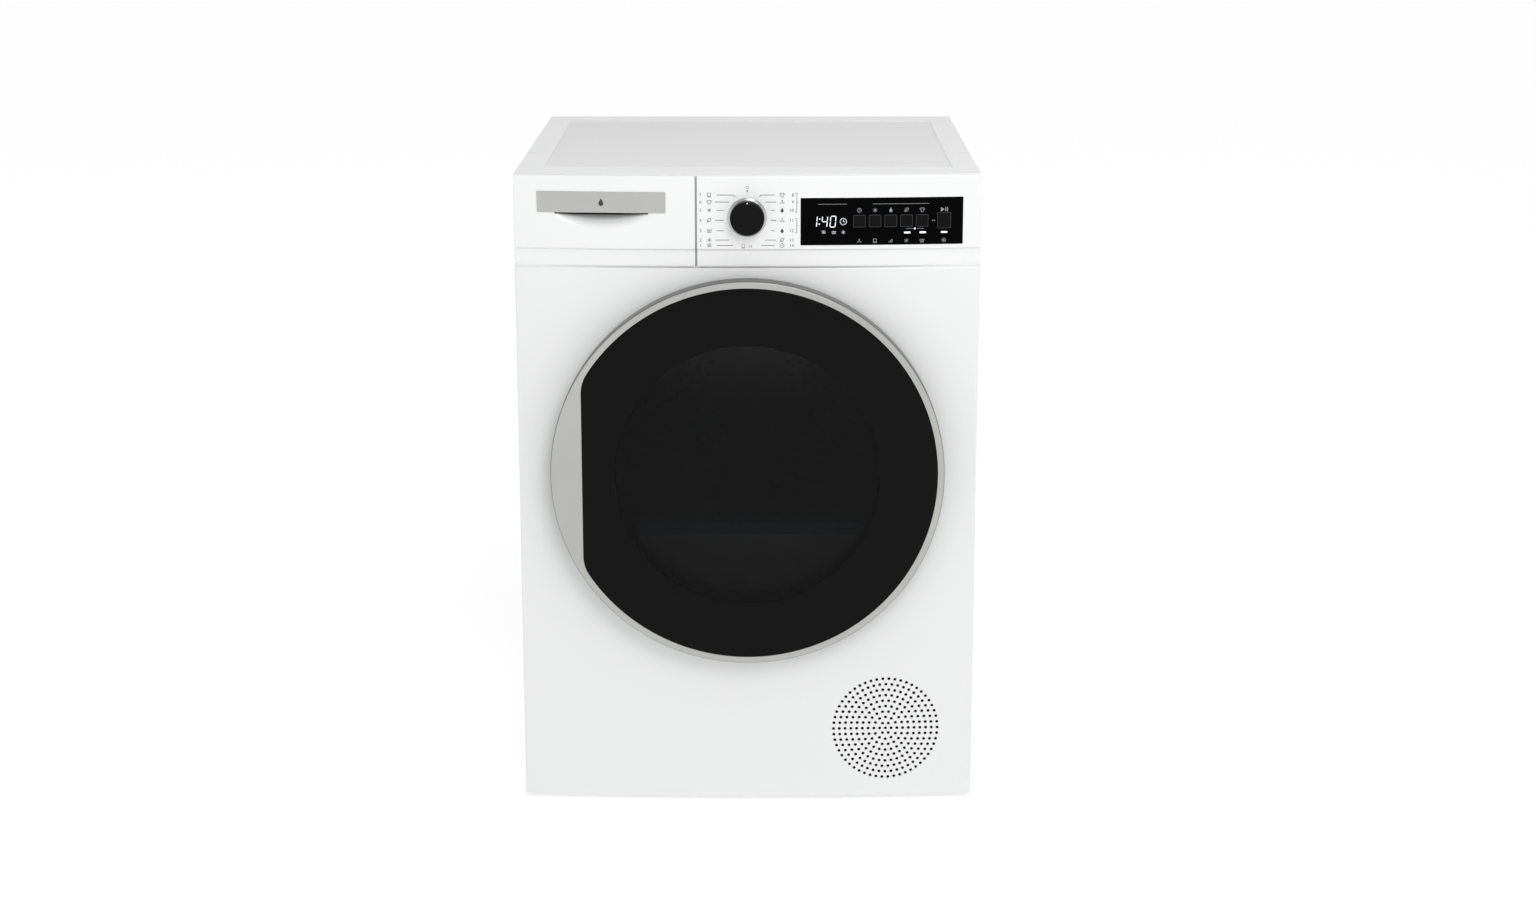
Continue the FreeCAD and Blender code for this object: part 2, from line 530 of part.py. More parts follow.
def lint_filter():
    """Two-leaf lint filter cassette: frame, mesh leaves and a grip on top."""
    x, y, z = (-FILTER_X, FILTER_X), FILTER_Y, FILTER_Z
    body_top = z[1] - 14
    frame = box(x, y, (z[0], body_top))
    frame = frame.cut(box((x[0] + 4, x[1] - 4), (y[0] + 4, y[1] - 4), (z[0] + 4, body_top + 1)))
    windows = [box((x0, x0 + 66), (y[0] - 1, y[1] + 1), (z[0] + 10, body_top - 12)) for x0 in (-147, -71, 5, 81)]
    frame = frame.cut(windows)
    cap = box((x[0] + 7, x[1] - 7), (y[0] + 2, y[1] - 2), (body_top, z[1]))
    cap = cap.makeFillet(5, [e for e in cap.Edges if e.BoundBox.ZMin > z[1] - 0.01])
    grip = box((-45, 45), (y[0] + 12, y[1] - 12), (body_top + 3, z[1] + 1))
    leaves = [box((x[0] + 4, x[1] - 4), (yy, yy + 0.6), (z[0] + 4, body_top)) for yy in (y[0] + 4, y[1] - 4.6)]
    return group(fuse(frame, cap.cut(grip)), *leaves)


def felt_seals():
    """Felt rings that the drum's front lip and back run against."""
    front = ring_y(0, DRUM_Z, LIP_R - 0.5, 240, (-189.9, -172))
    rear = ring_y(0, DRUM_Z, 204, 186, (DRUM_REAR + 0.5, 272))
    return group(front, rear)


# ---------------------------------------------------------------- drum
def drum_shell():
    """Rolled steel drum with a turned-in front lip and two swages."""
    r, t = DRUM_R, DRUM_WALL
    outer = lathe_y([(LIP_R, DRUM_FRONT), (r, DRUM_FRONT), (r, DRUM_REAR), (r - t, DRUM_REAR),
                     (r - t, DRUM_FRONT + t), (LIP_R, DRUM_FRONT + t)], 0, DRUM_Z)
    ribs = [ring_y(0, DRUM_Z, r - t / 2, r - 4, (y, y + 4)) for y in (-150, 215)]
    return fuse(outer, *ribs)


def drum_back():
    """Drum back: a stepped disc with two perforated fields, a bar between them, a hub and the shaft."""
    r, y = DRUM_R - DRUM_WALL - 0.02, DRUM_REAR
    disc = lathe_y([(0, y - 14), (180, y - 14), (206, y - 2), (r, y - 2), (r, y), (205, y), (179, y - 12),
                    (0, y - 12)], 0, DRUM_Z)
    hub = rod_y(0, DRUM_Z, 34, (y - 20, y - 1))
    shaft = rod_y(0, DRUM_Z, SHAFT_R, (y - 2, y + 46))
    bar = box((-26, 26), (y - 22, y - 13), (DRUM_Z - 165, DRUM_Z + 165))
    holes = []
    for ring in range(4, 11):
        for n in range(5 * ring):
            a = 2 * math.pi * (n + 0.5) / (5 * ring)
            hx, hz = 16 * ring * math.cos(a), 16 * ring * math.sin(a)
            if abs(hx) > 34:
                holes.append(rod_y(hx, DRUM_Z + hz, 3.0, (y - 16, y - 8)))
    return fuse(disc, hub, shaft, bar).cut(Part.makeCompound(holes))


def drum_lifters():
    """Three hollow-backed paddles that lift the laundry."""
    r = DRUM_R - DRUM_WALL - 0.3
    section = [(-34, -(r ** 2 - 34 ** 2) ** 0.5), (-13, -r + 46), (-6, -r + 52), (6, -r + 52), (13, -r + 46),
               (34, -(r ** 2 - 34 ** 2) ** 0.5)]
    face = face_of([(x, DRUM_FRONT + 45, DRUM_Z + z) for x, z in section])
    paddle = face.extrude(V(0, 350, 0)).common(rod_y(0, DRUM_Z, r, (DRUM_FRONT, DRUM_REAR)))
    section = [(-30, -r - 5), (-11, -r + 42), (-5, -r + 48.5), (5, -r + 48.5), (11, -r + 42), (30, -r - 5)]
    face = face_of([(x, DRUM_FRONT + 48, DRUM_Z + z) for x, z in section])
    paddle = paddle.cut(face.extrude(V(0, 344, 0)))
    paddles = []
    for turn in (60, 180, 300):
        one = paddle.copy()
        one.rotate(V(0, 0, DRUM_Z), Y_AXIS, turn)
        paddles.append(one)
    return group(*paddles)


def rear_bulkhead():
    """Rear shield that carries the drum's bearing and walls in the air duct."""
    y = (272.0, 273.5)
    plate = box((-285, 285), y, (205, 738))
    holes = ring_y(0, DRUM_Z, 178, 40, (y[0] - 1, y[1] + 1))
    spokes = [box((-12, 12), y, (DRUM_Z - 190, DRUM_Z + 190)), box((-190, 190), y, (DRUM_Z - 12, DRUM_Z + 12))]
    hub = rod_y(0, DRUM_Z, 40, (y[0], y[1] + 2)).fuse(rod_y(0, DRUM_Z, 28, (y[0], y[1] + 13.5)))
    hose = box((-286, -236), y, (684, 739))
    wall = keyhole(4, (y[1] - 1, BACK - SHEET - 1)).cut(keyhole(1, (y[0] - 5, BACK + 5)))
    wall = wall.cut(box((-300, 300), (200, 400), (0, 205)))
    plate = fuse(plate.cut([holes.cut(Part.makeCompound(spokes)), hose]), hub, wall)
    return plate.cut(rod_y(0, DRUM_Z, 19, (y[0] - 1, y[1] + 20)))


def drum_bearing():
    """Sleeve bearing of the drum's shaft."""
    return ring_y(0, DRUM_Z, 19, SHAFT_R + RUNNING, (271, 289))


# ---------------------------------------------------------------- drive
def belt_loop(drum_r, pulley_r, y):
    """Taut loop around drum and pulley, as a solid disc of that outline."""
    dx, dz = MOTOR_X, MOTOR_Z - DRUM_Z
    span = math.hypot(dx, dz)
    towards = math.atan2(dz, dx)
    spread = math.acos((drum_r - pulley_r) / span)
    big = [V(drum_r * math.cos(towards + s * spread), y[0], DRUM_Z + drum_r * math.sin(towards + s * spread))
           for s in (1, -1)]
    small = [V(MOTOR_X + pulley_r * math.cos(towards + s * spread), y[0],
               MOTOR_Z + pulley_r * math.sin(towards + s * spread)) for s in (1, -1)]
    far = V(-drum_r * math.cos(towards), y[0], DRUM_Z - drum_r * math.sin(towards))
    near = V(MOTOR_X + pulley_r * math.cos(towards), y[0], MOTOR_Z + pulley_r * math.sin(towards))
    wire = Part.Wire([Part.Arc(big[0], far, big[1]).toShape(), Part.LineSegment(big[1], small[1]).toShape(),
                      Part.Arc(small[1], near, small[0]).toShape(), Part.LineSegment(small[0], big[0]).toShape()])
    return Part.Face(wire).extrude(V(0, y[1] - y[0], 0))


def drive_belt():
    """Elastic ribbed belt, which needs no tensioner."""
    outer = belt_loop(DRUM_R + 0.35 + BELT_THICK, PULLEY_R + 0.35 + BELT_THICK, BELT_Y)
    inner = belt_loop(DRUM_R + 0.35, PULLEY_R + 0.35, (BELT_Y[0] - 1, BELT_Y[1] + 1))
    return outer.cut(inner)


def drive_motor():
    """Motor stator with end shields, standing on a bracket."""
    stack = rod_y(MOTOR_X, MOTOR_Z, 50, (-50, 30))
    shields = [rod_y(MOTOR_X, MOTOR_Z, 42, (-68, -50)), rod_y(MOTOR_X, MOTOR_Z, 42, (30, 48))]
    bosses = [rod_y(MOTOR_X, MOTOR_Z, 14, (-74, -67)), rod_y(MOTOR_X, MOTOR_Z, 14, (47, 54))]
    feet = [box((MOTOR_X - 45, MOTOR_X + 45), y, (12, 80)) for y in ((-44, -38), (18, 24))]
    foot_plate = box((MOTOR_X - 45, MOTOR_X + 45), (-44, 24), (12, 15))
    motor = fuse(stack, *shields, *bosses, *feet, foot_plate)
    return motor.cut(rod_y(MOTOR_X, MOTOR_Z, 6 + RUNNING, (-80, 60)))


def motor_rotor():
    """Motor shaft with the ribbed belt pulley at its front end."""
    shaft = rod_y(MOTOR_X, MOTOR_Z, 6, (-97, 308))
    profile = [(5, -97), (PULLEY_R + 2.2, -97), (PULLEY_R + 2.2, -95.5), (PULLEY_R, -94.5)]
    for n in range(5):
        y = -93.5 + 2.4 * n
        profile += [(PULLEY_R, y), (PULLEY_R - 1, y + 1.2)]
    profile += [(PULLEY_R, -80.5), (PULLEY_R + 2.2, -79.5), (PULLEY_R + 2.2, -78), (5, -78)]
    return fuse(shaft, lathe_y(profile, MOTOR_X, MOTOR_Z))


def fan_impeller():
    """Radial impeller of the process air fan, pressed on the rear end of the motor shaft."""
    x, z = MOTOR_X, MOTOR_Z
    disc = rod_y(x, z, IMPELLER_R, (298, 300.5))
    hub = rod_y(x, z, 12, (276, 306))
    shroud = ring_y(x, z, IMPELLER_R, 42, (266, 268))
    blades = []
    for n in range(11):
        blade = box((x + 36, x + IMPELLER_R - 1), (267, 299), (z - 1, z + 1))
        blade.rotate(V(x + 36, 0, z), Y_AXIS, -28)
        blade.rotate(V(x, 0, z), Y_AXIS, 360 / 11 * n)
        blades.append(blade.common(rod_y(x, z, IMPELLER_R - 0.5, (260, 305))))
    return fuse(disc, hub, shroud, *blades).cut(rod_y(x, z, 6, (250, 320)))


def fan_housing():
    """Round housing of the fan, open to the rear duct."""
    x, z = MOTOR_X, MOTOR_Z
    cup = rod_y(x, z, 82, (254, BACK - SHEET - 1)).cut(rod_y(x, z, 79, (257, BACK + 5)))
    neck = ring_y(x, z, 44, 41, (240, 255))
    foot = box((x - 30, x + 30), (256, 300), (12, z - 79.5))
    return fuse(cup.cut(rod_y(x, z, 41, (230, 260))), neck, foot.cut(rod_y(x, z, 80, (200, 400))))


# ---------------------------------------------------------------- heat pump
HX_X = (-272.0, -50.0)
HX_Z = (20.0, 160.0)


def finned_block(y):
    """Plate-fin heat exchanger with a row of U-bends at both ends."""
    plates = [box((x, x + 2), y, HX_Z) for x in range(int(HX_X[0]) + 8, int(HX_X[1]) - 8, 8)]
    pipes = []
    for n in range(4):
        for row in (0.3, 0.7):
            z = HX_Z[0] + 22 + 32 * n
            yy = y[0] + (y[1] - y[0]) * row
            pipes.append(Part.makeCylinder(5, HX_X[1] - HX_X[0], V(HX_X[0], yy, z), X_AXIS))
    return fuse(pipes[0], *pipes[1:], *plates)


def heat_exchangers():
    """Evaporator in front and condenser behind it."""
    return group(finned_block((-150, -40)), finned_block((0, 150)))


def heat_exchanger_cover():
    """Lid over both heat exchangers that makes the air channel."""
    y = (-193, 195)
    lid = box((HX_X[0] - 6, HX_X[1] + 8), y, (62, 170))
    hollow = box((HX_X[0] - 3.5, HX_X[1] + 5.5), (y[0] - 1, y[1] - 2.5), (60, 167.5))
    outlet = box((-200, -90), (y[1] - 5, y[1] + 5), (75, 150))
    pipe = Part.makeCylinder(5.6, 30, V(HX_X[1] - 10, -90, 116), X_AXIS)
    return lid.cut([hollow, outlet, pipe])


def compressor():
    """Hermetic compressor standing on three rubber feet."""
    x, y = 205.0, 170.0
    pot = rod_z(x, y, 54, (34, 205))
    pot = pot.makeFillet(16, [e for e in pot.Edges if e.BoundBox.ZMin > 204.9])
    feet = []
    for turn in (30, 150, 270):
        a = math.radians(turn)
        fx, fy = x + 62 * math.cos(a), y + 62 * math.sin(a)
        feet.append(rod_z(fx, fy, 12, (12, 34)))
        feet.append(rod_z(fx, fy, 16, (34, 38)))
    plate = rod_z(x, y, 66, (34, 38))
    stub = rod_z(x, y, 7, (200, 214))
    return fuse(pot, plate, stub, *feet)


def refrigerant_pipes():
    """Copper pipes between the compressor and the heat exchangers."""
    hot = tube([(205, 170, 214), (205, 170, 228), (205, 110, 228), (40, 110, 170), (-20, 80, 60),
                (-30, 80, 52), (-49.5, 80, 52)], 4, 4.5)
    cold = tube([(262, 160, 120), (274, 160, 120), (274, 60, 120), (240, -120, 120), (0, -120, 120),
                 (-25, -90, 116), (-49.5, -90, 116)], 5, 5.5)
    return group(hot, cold)


# ---------------------------------------------------------------- water and power
def condensate_pump():
    """Pump that lifts the condensed water to the tank."""
    body = rod_z(-170, 255, 30, (12, 56))
    motor = rod_z(-170, 255, 22, (56, 88))
    outlet = Part.makeCylinder(5, 29, V(-199, 262, 40), V(-1, 0, 0))
    return fuse(body, motor, outlet)


def drain_hose():
    """Hose from the pump up the rear corner to the drain outlet."""
    return tube([(-228, 262, 40), (-264, 262, 40), (-264, 285, 110), (-264, 290, 680), (SPIGOT_X, 256, 740),
                 (SPIGOT_X, 256, SPIGOT_Z), (SPIGOT_X, 279, SPIGOT_Z)], 6, 13)


def drain_spigot():
    """Outlet spout for a drain hose, set in a recess of the rear wall."""
    x, z, p = SPIGOT_X, SPIGOT_Z, POCKET - 0.3
    cup = box((x - p, x + p), (284, BACK - 0.2), (z - p, z + p))
    cup = cup.cut(box((x - p + 2, x + p - 2), (286, BACK + 5), (z - p + 2, z + p - 2)))
    spout = rod_y(x, z, 8.5, (285, BACKMOST - 1))
    stub = rod_y(x, z, 5, (279, 286))
    bore = rod_y(x, z, 5.5, (290, BACKMOST + 5))
    return fuse(cup, spout, stub).cut(bore)


def mains_inlet():
    """Cord gland with its terminal box, set in a recess of the rear wall."""
    x, z, p = INLET_X, INLET_Z, POCKET - 0.3
    cup = box((x - p, x + p), (270, BACK - 0.2), (z - p, z + p))
    cup = cup.cut(box((x - p + 2, x + p - 2), (302, BACK + 5), (z - p + 2, z + p - 2)))
    terminal = box((x - p + 2, x + p - 2), (272, 290), (z - p + 2, z + p - 2))
    gland = rod_y(x, z, 10, (300, BACK + 2))
    return fuse(cup.cut(terminal), gland).cut(rod_y(x, z, 4.6, (285, 330)))


def cabinet_screws():
    """Cross-head screws of the rear panel and of the duct cover."""
    def screw(x, z, y):
        head = rod_y(x, z, 4.2, (y, y + 2.2))
        head = head.makeFillet(0.9, [e for e in head.Edges if e.BoundBox.YMin > y + 2.1])
        stem = rod_y(x, z, 1.6, (y - 9, y + 0.2))
        cross = [box((x - 2, x + 2), (y + 1.2, y + 3), (z - 0.4, z + 0.4)),
                 box((x - 0.4, x + 0.4), (y + 1.2, y + 3), (z - 2, z + 2))]
        return fuse(head, stem).cut(cross)
    return group(*[screw(x, z, BACK) for x, z in REAR_SCREWS],
                 *[screw(x, z, BACK + SHEET) for x, z in COVER_SCREWS])


# ---------------------------------------------------------------- door
def d_outline(radius, flat_x, y):
    """The door glass's outline: a circle cut off straight on the left, with rounded corners, as a face."""
    disc = rod_y(0, PORT_Z, radius, (y, y + 1))
    disc = disc.cut(box((-radius - 5, flat_x), (y - 1, y + 2), (PORT_Z - radius, PORT_Z + radius)))
    corners = [e for e in disc.Edges if abs(e.BoundBox.XMax - flat_x) < 0.01 and e.BoundBox.ZLength < 0.01]
    disc = disc.makeFillet(FLAT_CORNER, corners)
    return [f for f in disc.Faces if f.BoundBox.YMax < y + 0.01][0]


def door_rim():
    """Dark outer rim of the door, open behind on the left for the fingers."""
    y = (DOOR_FACE + 3, DOOR_BACK)
    rim = ring_y(0, PORT_Z, DOOR_R, DOOR_R - 3.5, y)
    grip = box((-260, -215), (-308, DOOR_BACK + 1), (PORT_Z - 70, PORT_Z + 70))
    slots = [box((HINGE_X - 12, 260), (-312.5, DOOR_BACK + 1), (z - 0.8, z + LUG + 0.8)) for z in lug_bottoms()]
    return rim.cut([grip, *slots])


def door_trim_ring():
    """Silver ring of the door, which widens into the handle plate on the left."""
    disc = rod_y(0, PORT_Z, DOOR_R, (DOOR_FACE, DOOR_FACE + 3))
    disc = disc.makeFillet(1.0, [e for e in disc.Edges if e.BoundBox.YMax < DOOR_FACE + 0.01])
    hole = d_outline(GLASS_R, FLAT_X, DOOR_FACE - 2).extrude(V(0, 8, 0))
    return disc.cut(hole)


def door_glass():
    """Black glass, domed, with a straight left edge."""
    blank = d_outline(GLASS_R - 0.3, FLAT_X + 0.3, DOOR_FACE - 20).extrude(V(0, 40, 0))
    dome_r = (GLASS_R ** 2 + GLASS_CROWN ** 2) / (2 * GLASS_CROWN)
    front = DOOR_FACE - GLASS_CROWN
    shell = Part.makeSphere(dome_r, V(0, front + dome_r, PORT_Z))
    shell = shell.cut(Part.makeSphere(dome_r - GLASS_THICK, V(0, front + dome_r, PORT_Z)))
    shell = shell.common(rod_y(0, PORT_Z, GLASS_R + 20, (front - 5, front + 60)))
    return blank.common(shell)


def door_inner_frame():
    """Inner frame of the door, with the ring that enters the port, the grip and the catch hook."""
    body = lathe_y([(PLUG_R - 6, -310), (DOOR_R - 3.9, -310), (DOOR_R - 3.9, DOOR_BACK), (PLUG_R, DOOR_BACK + 2),
                    (PLUG_R, PLUG_END - 3), (PLUG_R - 3, PLUG_END), (PLUG_R - 6, PLUG_END)])
    grip = box((-260, -222), (-307, DOOR_BACK + 5), (PORT_Z - 70, PORT_Z + 70))
    hinge = box((187, 260), (-308, DOOR_BACK + 5), (PORT_Z - 37, PORT_Z + 37))
    groove = lathe_y([(PLUG_R - 2, -284), (PLUG_R + 9, -284), (PLUG_R + 9, -276), (PLUG_R - 2, -276)])
    hook = fuse(box((-209, -202), (-294, -264), (PORT_Z - 7, PORT_Z + 7)),
                box((-211, -202), (-270, -264), (PORT_Z - 7, PORT_Z + 7)))
    # clear of the barrel, and of the lugs when the door is wide open
    barrel = box((HINGE_X - 7.5, 260), (-311, DOOR_BACK + 5), (PORT_Z - 37, PORT_Z + 37))
    return fuse(body.cut([grip, hinge, groove, barrel]), hook)


def door_window():
    """Clear bowl on the inside of the door, sloped so that laundry falls back into the drum."""
    r = PLUG_R - 6.1
    outer = [(r, -309.9), (r, -262), (r - 3, -256), (r - 12, PLUG_END - 2), (0, PLUG_END - 2)]
    inner = [(0, PLUG_END - 5), (r - 13, PLUG_END - 5), (r - 6, -258), (r - 3, -263), (r - 3, -309.9)]
    return lathe_y(outer + inner)


def door_seal():
    """Rubber seal in the groove of the door's inner ring."""
    r = PLUG_R
    return lathe_y([(r - 1.9, -283.9), (r + 1, -283.9), (r + 4, -281), (r + 4, -279.6), (r + 1, -276.1),
                    (r - 1.9, -276.1)])


def lug_bottoms():
    return (PORT_Z - HINGE_HALF, PORT_Z + HINGE_HALF - LUG)


HINGE_SCREWS = [(206, PORT_Z - 22), (206, PORT_Z + 22), (224, PORT_Z - 22), (224, PORT_Z + 22)]


def hinge_bracket():
    """Hinge plate on the front panel, its two lugs and the pin through them."""
    plate = box((198, 233), (-287, -284.6), (PORT_Z - HINGE_HALF, PORT_Z + HINGE_HALF))
    lugs = []
    for z in lug_bottoms():
        arm = face_of([(HINGE_X - 5, HINGE_Y - 5, z), (HINGE_X + 4, HINGE_Y + 5, z), (228, -285, z),
                       (212, -285, z)]).extrude(V(0, 0, LUG))
        lugs.append(fuse(rod_z(HINGE_X, HINGE_Y, 6.5, (z, z + LUG)), arm))
    bracket = fuse(plate, *lugs)
    bore = rod_z(HINGE_X, HINGE_Y, PIN_R, (PORT_Z - 60, PORT_Z + 60))
    pads = bowed([(-9, 0), (0, 0), (0, 900), (-9, 900)], PANEL_BOW, (199, 232))
    pads = pads.common(box((199, 232), (-286, -270), (PORT_Z - 28, PORT_Z + 28)))
    holes = [rod_y(x, z, 2.1, (-300, -270)) for x, z in HINGE_SCREWS]
    pin = rod_z(HINGE_X, HINGE_Y, PIN_R, (PORT_Z - HINGE_HALF, PORT_Z + HINGE_HALF))
    screws = [rod_y(x, z, 2.0, (-290, -272)) for x, z in HINGE_SCREWS]
    heads = [rod_y(x, z, 3.8, (-289.4, -287)) for x, z in HINGE_SCREWS]
    bolts = [fuse(s, h) for s, h in zip(screws, heads)]
    return group(fuse(bracket, pads).cut([bore, *holes]), pin, *bolts)


def door_hinge_leaf():
    """Door half of the hinge: a barrel on the pin and a plate screwed into the inner frame."""
    low, high = PORT_Z - HINGE_HALF + LUG + 0.5, PORT_Z + HINGE_HALF - LUG - 0.5
    barrel = rod_z(HINGE_X, HINGE_Y, 6.5, (low, high))
    plate = box((195, HINGE_X), (-307.9, -304.9), (low, high))
    leaf = fuse(barrel, plate).cut(rod_z(HINGE_X, HINGE_Y, PIN_R + RUNNING, (low - 1, high + 1)))
    screws = [rod_y(x, z, 3.6, (-305, -303)) for x in (203, 222) for z in (PORT_Z - 12, PORT_Z + 12)]
    return fuse(leaf, *screws)


def door_latch():
    """Latch housing behind the front panel, with two spring jaws that hold the hook."""
    shell = box((-222, -194.5), (-279.8, -246), (PORT_Z - 24, PORT_Z + 24))
    cave = box((-216, -198), (-290, -250), (PORT_Z - 12, PORT_Z + 12))
    jaws = [box((-216.5, -213.4), (-262, -256), (PORT_Z + s * 10 - 2, PORT_Z + s * 10 + 2)) for s in (-1, 1)]
    collar = rod_y(0, PORT_Z, PANEL_PORT_R + SHEET + 0.3, (-300, -273.6))
    return fuse(shell.cut([cave, collar, rod_y(0, PORT_Z, PORT_R + 4.3, (-300, -200))]), *jaws)


# ---------------------------------------------------------------- feet
def front_foot(side):
    """Screw foot: a pad on a threaded stem, which screws out downwards to level the machine."""
    x, y = side * FOOT_X, -FOOT_Y
    pad = rod_z(x, y, FOOT_R, (0, 6))
    pad = pad.makeFillet(1.5, [e for e in pad.Edges if e.BoundBox.ZMin > 5.9])
    nut = Part.Face(Part.makePolygon([V(x + 8.5 * math.cos(t), y + 8.5 * math.sin(t), 5) for t in
                                      (math.radians(60 * n) for n in range(7))])).extrude(V(0, 0, 2.6))
    return fuse(pad, nut, rod_z(x, y, STEM_R, (5, 42)))


def rear_feet():
    """The two fixed rear feet."""
    feet = [fuse(rod_z(s * FOOT_X, FOOT_Y, FOOT_R, (0, BASE_Z)), rod_z(s * FOOT_X, FOOT_Y, STEM_R, (5, 42)))
            for s in (-1, 1)]
    return group(*feet)


def nodes():
    """Every node's name and shape."""
    spots = button_spots()
    rollers = roller_spots()
    return {
        "base_tray": base_tray(), "side_panel_left": side_panel(-1), "side_panel_right": side_panel(1),
        "rear_panel": rear_panel(), "rear_duct_cover": rear_duct_cover(), "front_panel": front_panel(),
        "vent_grille": vent_grille(), "worktop_frame": worktop_frame(), "worktop_panel": worktop_panel(),
        "control_fascia": control_fascia(), "display_window": display_window(),
        "control_board": control_board(), "tank_housing": tank_housing(), "front_bulkhead": front_bulkhead(),
        "filter_housing": filter_housing(), "felt_seals": felt_seals(), "rear_bulkhead": rear_bulkhead(),
        "drum_bearing": drum_bearing(), "drive_belt": drive_belt(), "drive_motor": drive_motor(),
        "fan_housing": fan_housing(), "heat_exchangers": heat_exchangers(),
        "heat_exchanger_cover": heat_exchanger_cover(), "compressor": compressor(),
        "refrigerant_pipes": refrigerant_pipes(), "condensate_pump": condensate_pump(),
        "drain_hose": drain_hose(), "drain_spigot": drain_spigot(), "mains_inlet": mains_inlet(),
        "door_latch": door_latch(), "hinge_bracket": hinge_bracket(), "cabinet_screws": cabinet_screws(),
        "rear_feet": rear_feet(),
        "door_rim": door_rim(), "door_trim_ring": door_trim_ring(), "door_glass": door_glass(),
        "door_inner_frame": door_inner_frame(), "door_window": door_window(), "door_seal": door_seal(),
        "door_hinge_leaf": door_hinge_leaf(),
        "tank_front": tank_front(), "tank_handle_plate": tank_handle_plate(), "tank_body": tank_body(),
        "program_knob": program_knob(),
        "delay_button": button(spots[0]), "timer_button": button(spots[1]), "level_button": button(spots[2]),
        "delicate_button": button(spots[3]), "crease_button": button(spots[4]), "start_button": button(spots[5]),
        "lint_filter": lint_filter(),
        "drum_shell": drum_shell(), "drum_back": drum_back(), "drum_lifters": drum_lifters(),
        "motor_rotor": motor_rotor(), "fan_impeller": fan_impeller(),
        "roller_left": roller(rollers[0]), "roller_right": roller(rollers[1]),
        "foot_front_left": front_foot(-1), "foot_front_right": front_foot(1),
    }


def main():
    os.makedirs("parts", exist_ok=True)
    for name, shape in nodes().items():
        if not shape.isValid() or not shape.Solids or shape.Volume <= 0:
            print("PROBLEM", name, shape.isValid(), len(shape.Solids), shape.Volume)
        shape.exportStep(f"parts/{name}.step")
        bounds = shape.BoundBox
        print(name, len(shape.Solids), f"{shape.Volume / 1e6:.3f} L",
              f"x {bounds.XMin:.1f} {bounds.XMax:.1f} y {bounds.YMin:.1f} {bounds.YMax:.1f}",
              f"z {bounds.ZMin:.1f} {bounds.ZMax:.1f}")


main()
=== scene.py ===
"""Looks of a front-loading heat-pump clothes dryer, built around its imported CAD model.

Lengths in this script are millimetres in the row frame, and meshes are scaled to metres when they are made.
"""
import math

import bmesh
import bpy
import numpy as np
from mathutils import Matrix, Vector, geometry


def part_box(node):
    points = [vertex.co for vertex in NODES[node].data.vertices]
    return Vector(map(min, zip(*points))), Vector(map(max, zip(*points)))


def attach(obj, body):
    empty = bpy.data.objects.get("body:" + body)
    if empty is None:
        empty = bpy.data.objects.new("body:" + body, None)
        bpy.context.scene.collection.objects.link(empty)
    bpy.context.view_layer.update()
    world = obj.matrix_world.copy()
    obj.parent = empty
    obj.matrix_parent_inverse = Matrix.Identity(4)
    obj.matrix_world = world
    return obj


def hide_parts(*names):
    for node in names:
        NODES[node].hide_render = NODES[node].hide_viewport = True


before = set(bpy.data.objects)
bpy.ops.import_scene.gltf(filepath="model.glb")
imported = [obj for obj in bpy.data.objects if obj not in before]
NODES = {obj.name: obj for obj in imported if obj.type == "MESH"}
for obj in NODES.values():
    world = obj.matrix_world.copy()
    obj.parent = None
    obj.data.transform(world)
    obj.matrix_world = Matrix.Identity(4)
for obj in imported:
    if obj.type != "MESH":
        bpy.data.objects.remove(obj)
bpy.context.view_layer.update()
MM = 0.001


def mm_box(node):
    """Lowest and highest corner of a CAD node, in millimetres."""
    return tuple(v * 1000 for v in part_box(node))


PANEL_LO, PANEL_HI = mm_box("front_panel")
FASCIA_LO, FASCIA_HI = mm_box("control_fascia")
TRIM_LO, TRIM_HI = mm_box("door_trim_ring")
GLASS_LO, GLASS_HI = mm_box("door_glass")
KNOB_LO, KNOB_HI = mm_box("program_knob")
WINDOW_LO, WINDOW_HI = mm_box("display_window")
PLATE_LO, PLATE_HI = mm_box("tank_handle_plate")
TANK_HI = mm_box("tank_front")[1]
TOP_LO, TOP_HI = mm_box("worktop_frame")
BOARD_LO, BOARD_HI = mm_box("worktop_panel")
VENT_LO, VENT_HI = mm_box("vent_grille")
RIM_HI = mm_box("door_rim")[1]

HALF = PANEL_HI.x
FRONT = -277.0                       # plane of the cabinet's front corners
PANEL_SAG = FRONT - PANEL_LO.y       # bow of the front panel
FASCIA_SAG = FRONT - FASCIA_LO.y     # bow of the fascia
DOOR_Z = (TRIM_LO.z + TRIM_HI.z) / 2
DOOR_R = (TRIM_HI.z - TRIM_LO.z) / 2
DOOR_FACE = TRIM_LO.y
GLASS_R = (GLASS_HI.z - GLASS_LO.z) / 2
GLASS_CROWN = DOOR_FACE - GLASS_LO.y
FLAT_X = GLASS_LO.x                  # straight left edge of the glass
FLAT_ROUND = 48.0                    # radius of the corners at its ends
KNOB_Z = (KNOB_LO.z + KNOB_HI.z) / 2
SEAM_X = (TANK_HI.x + FASCIA_LO.x) / 2
SEAM_GAP = FASCIA_LO.x - TANK_HI.x
PORT_R = 195.0                       # loading port in the front panel
AIR_HOLE_R, AIR_PITCH, AIR_RINGS = 2.1, 7.7, 9
VENT_R = (VENT_HI.z - VENT_LO.z) / 2
VENT_X, VENT_Z = (VENT_LO.x + VENT_HI.x) / 2, (VENT_LO.z + VENT_HI.z) / 2


def bow(x, sag):
    """Y of a front that bulges forward by sag in its middle."""
    r = (HALF ** 2 + sag ** 2) / (2 * sag)
    return FRONT - sag + r - math.sqrt(r * r - x * x)


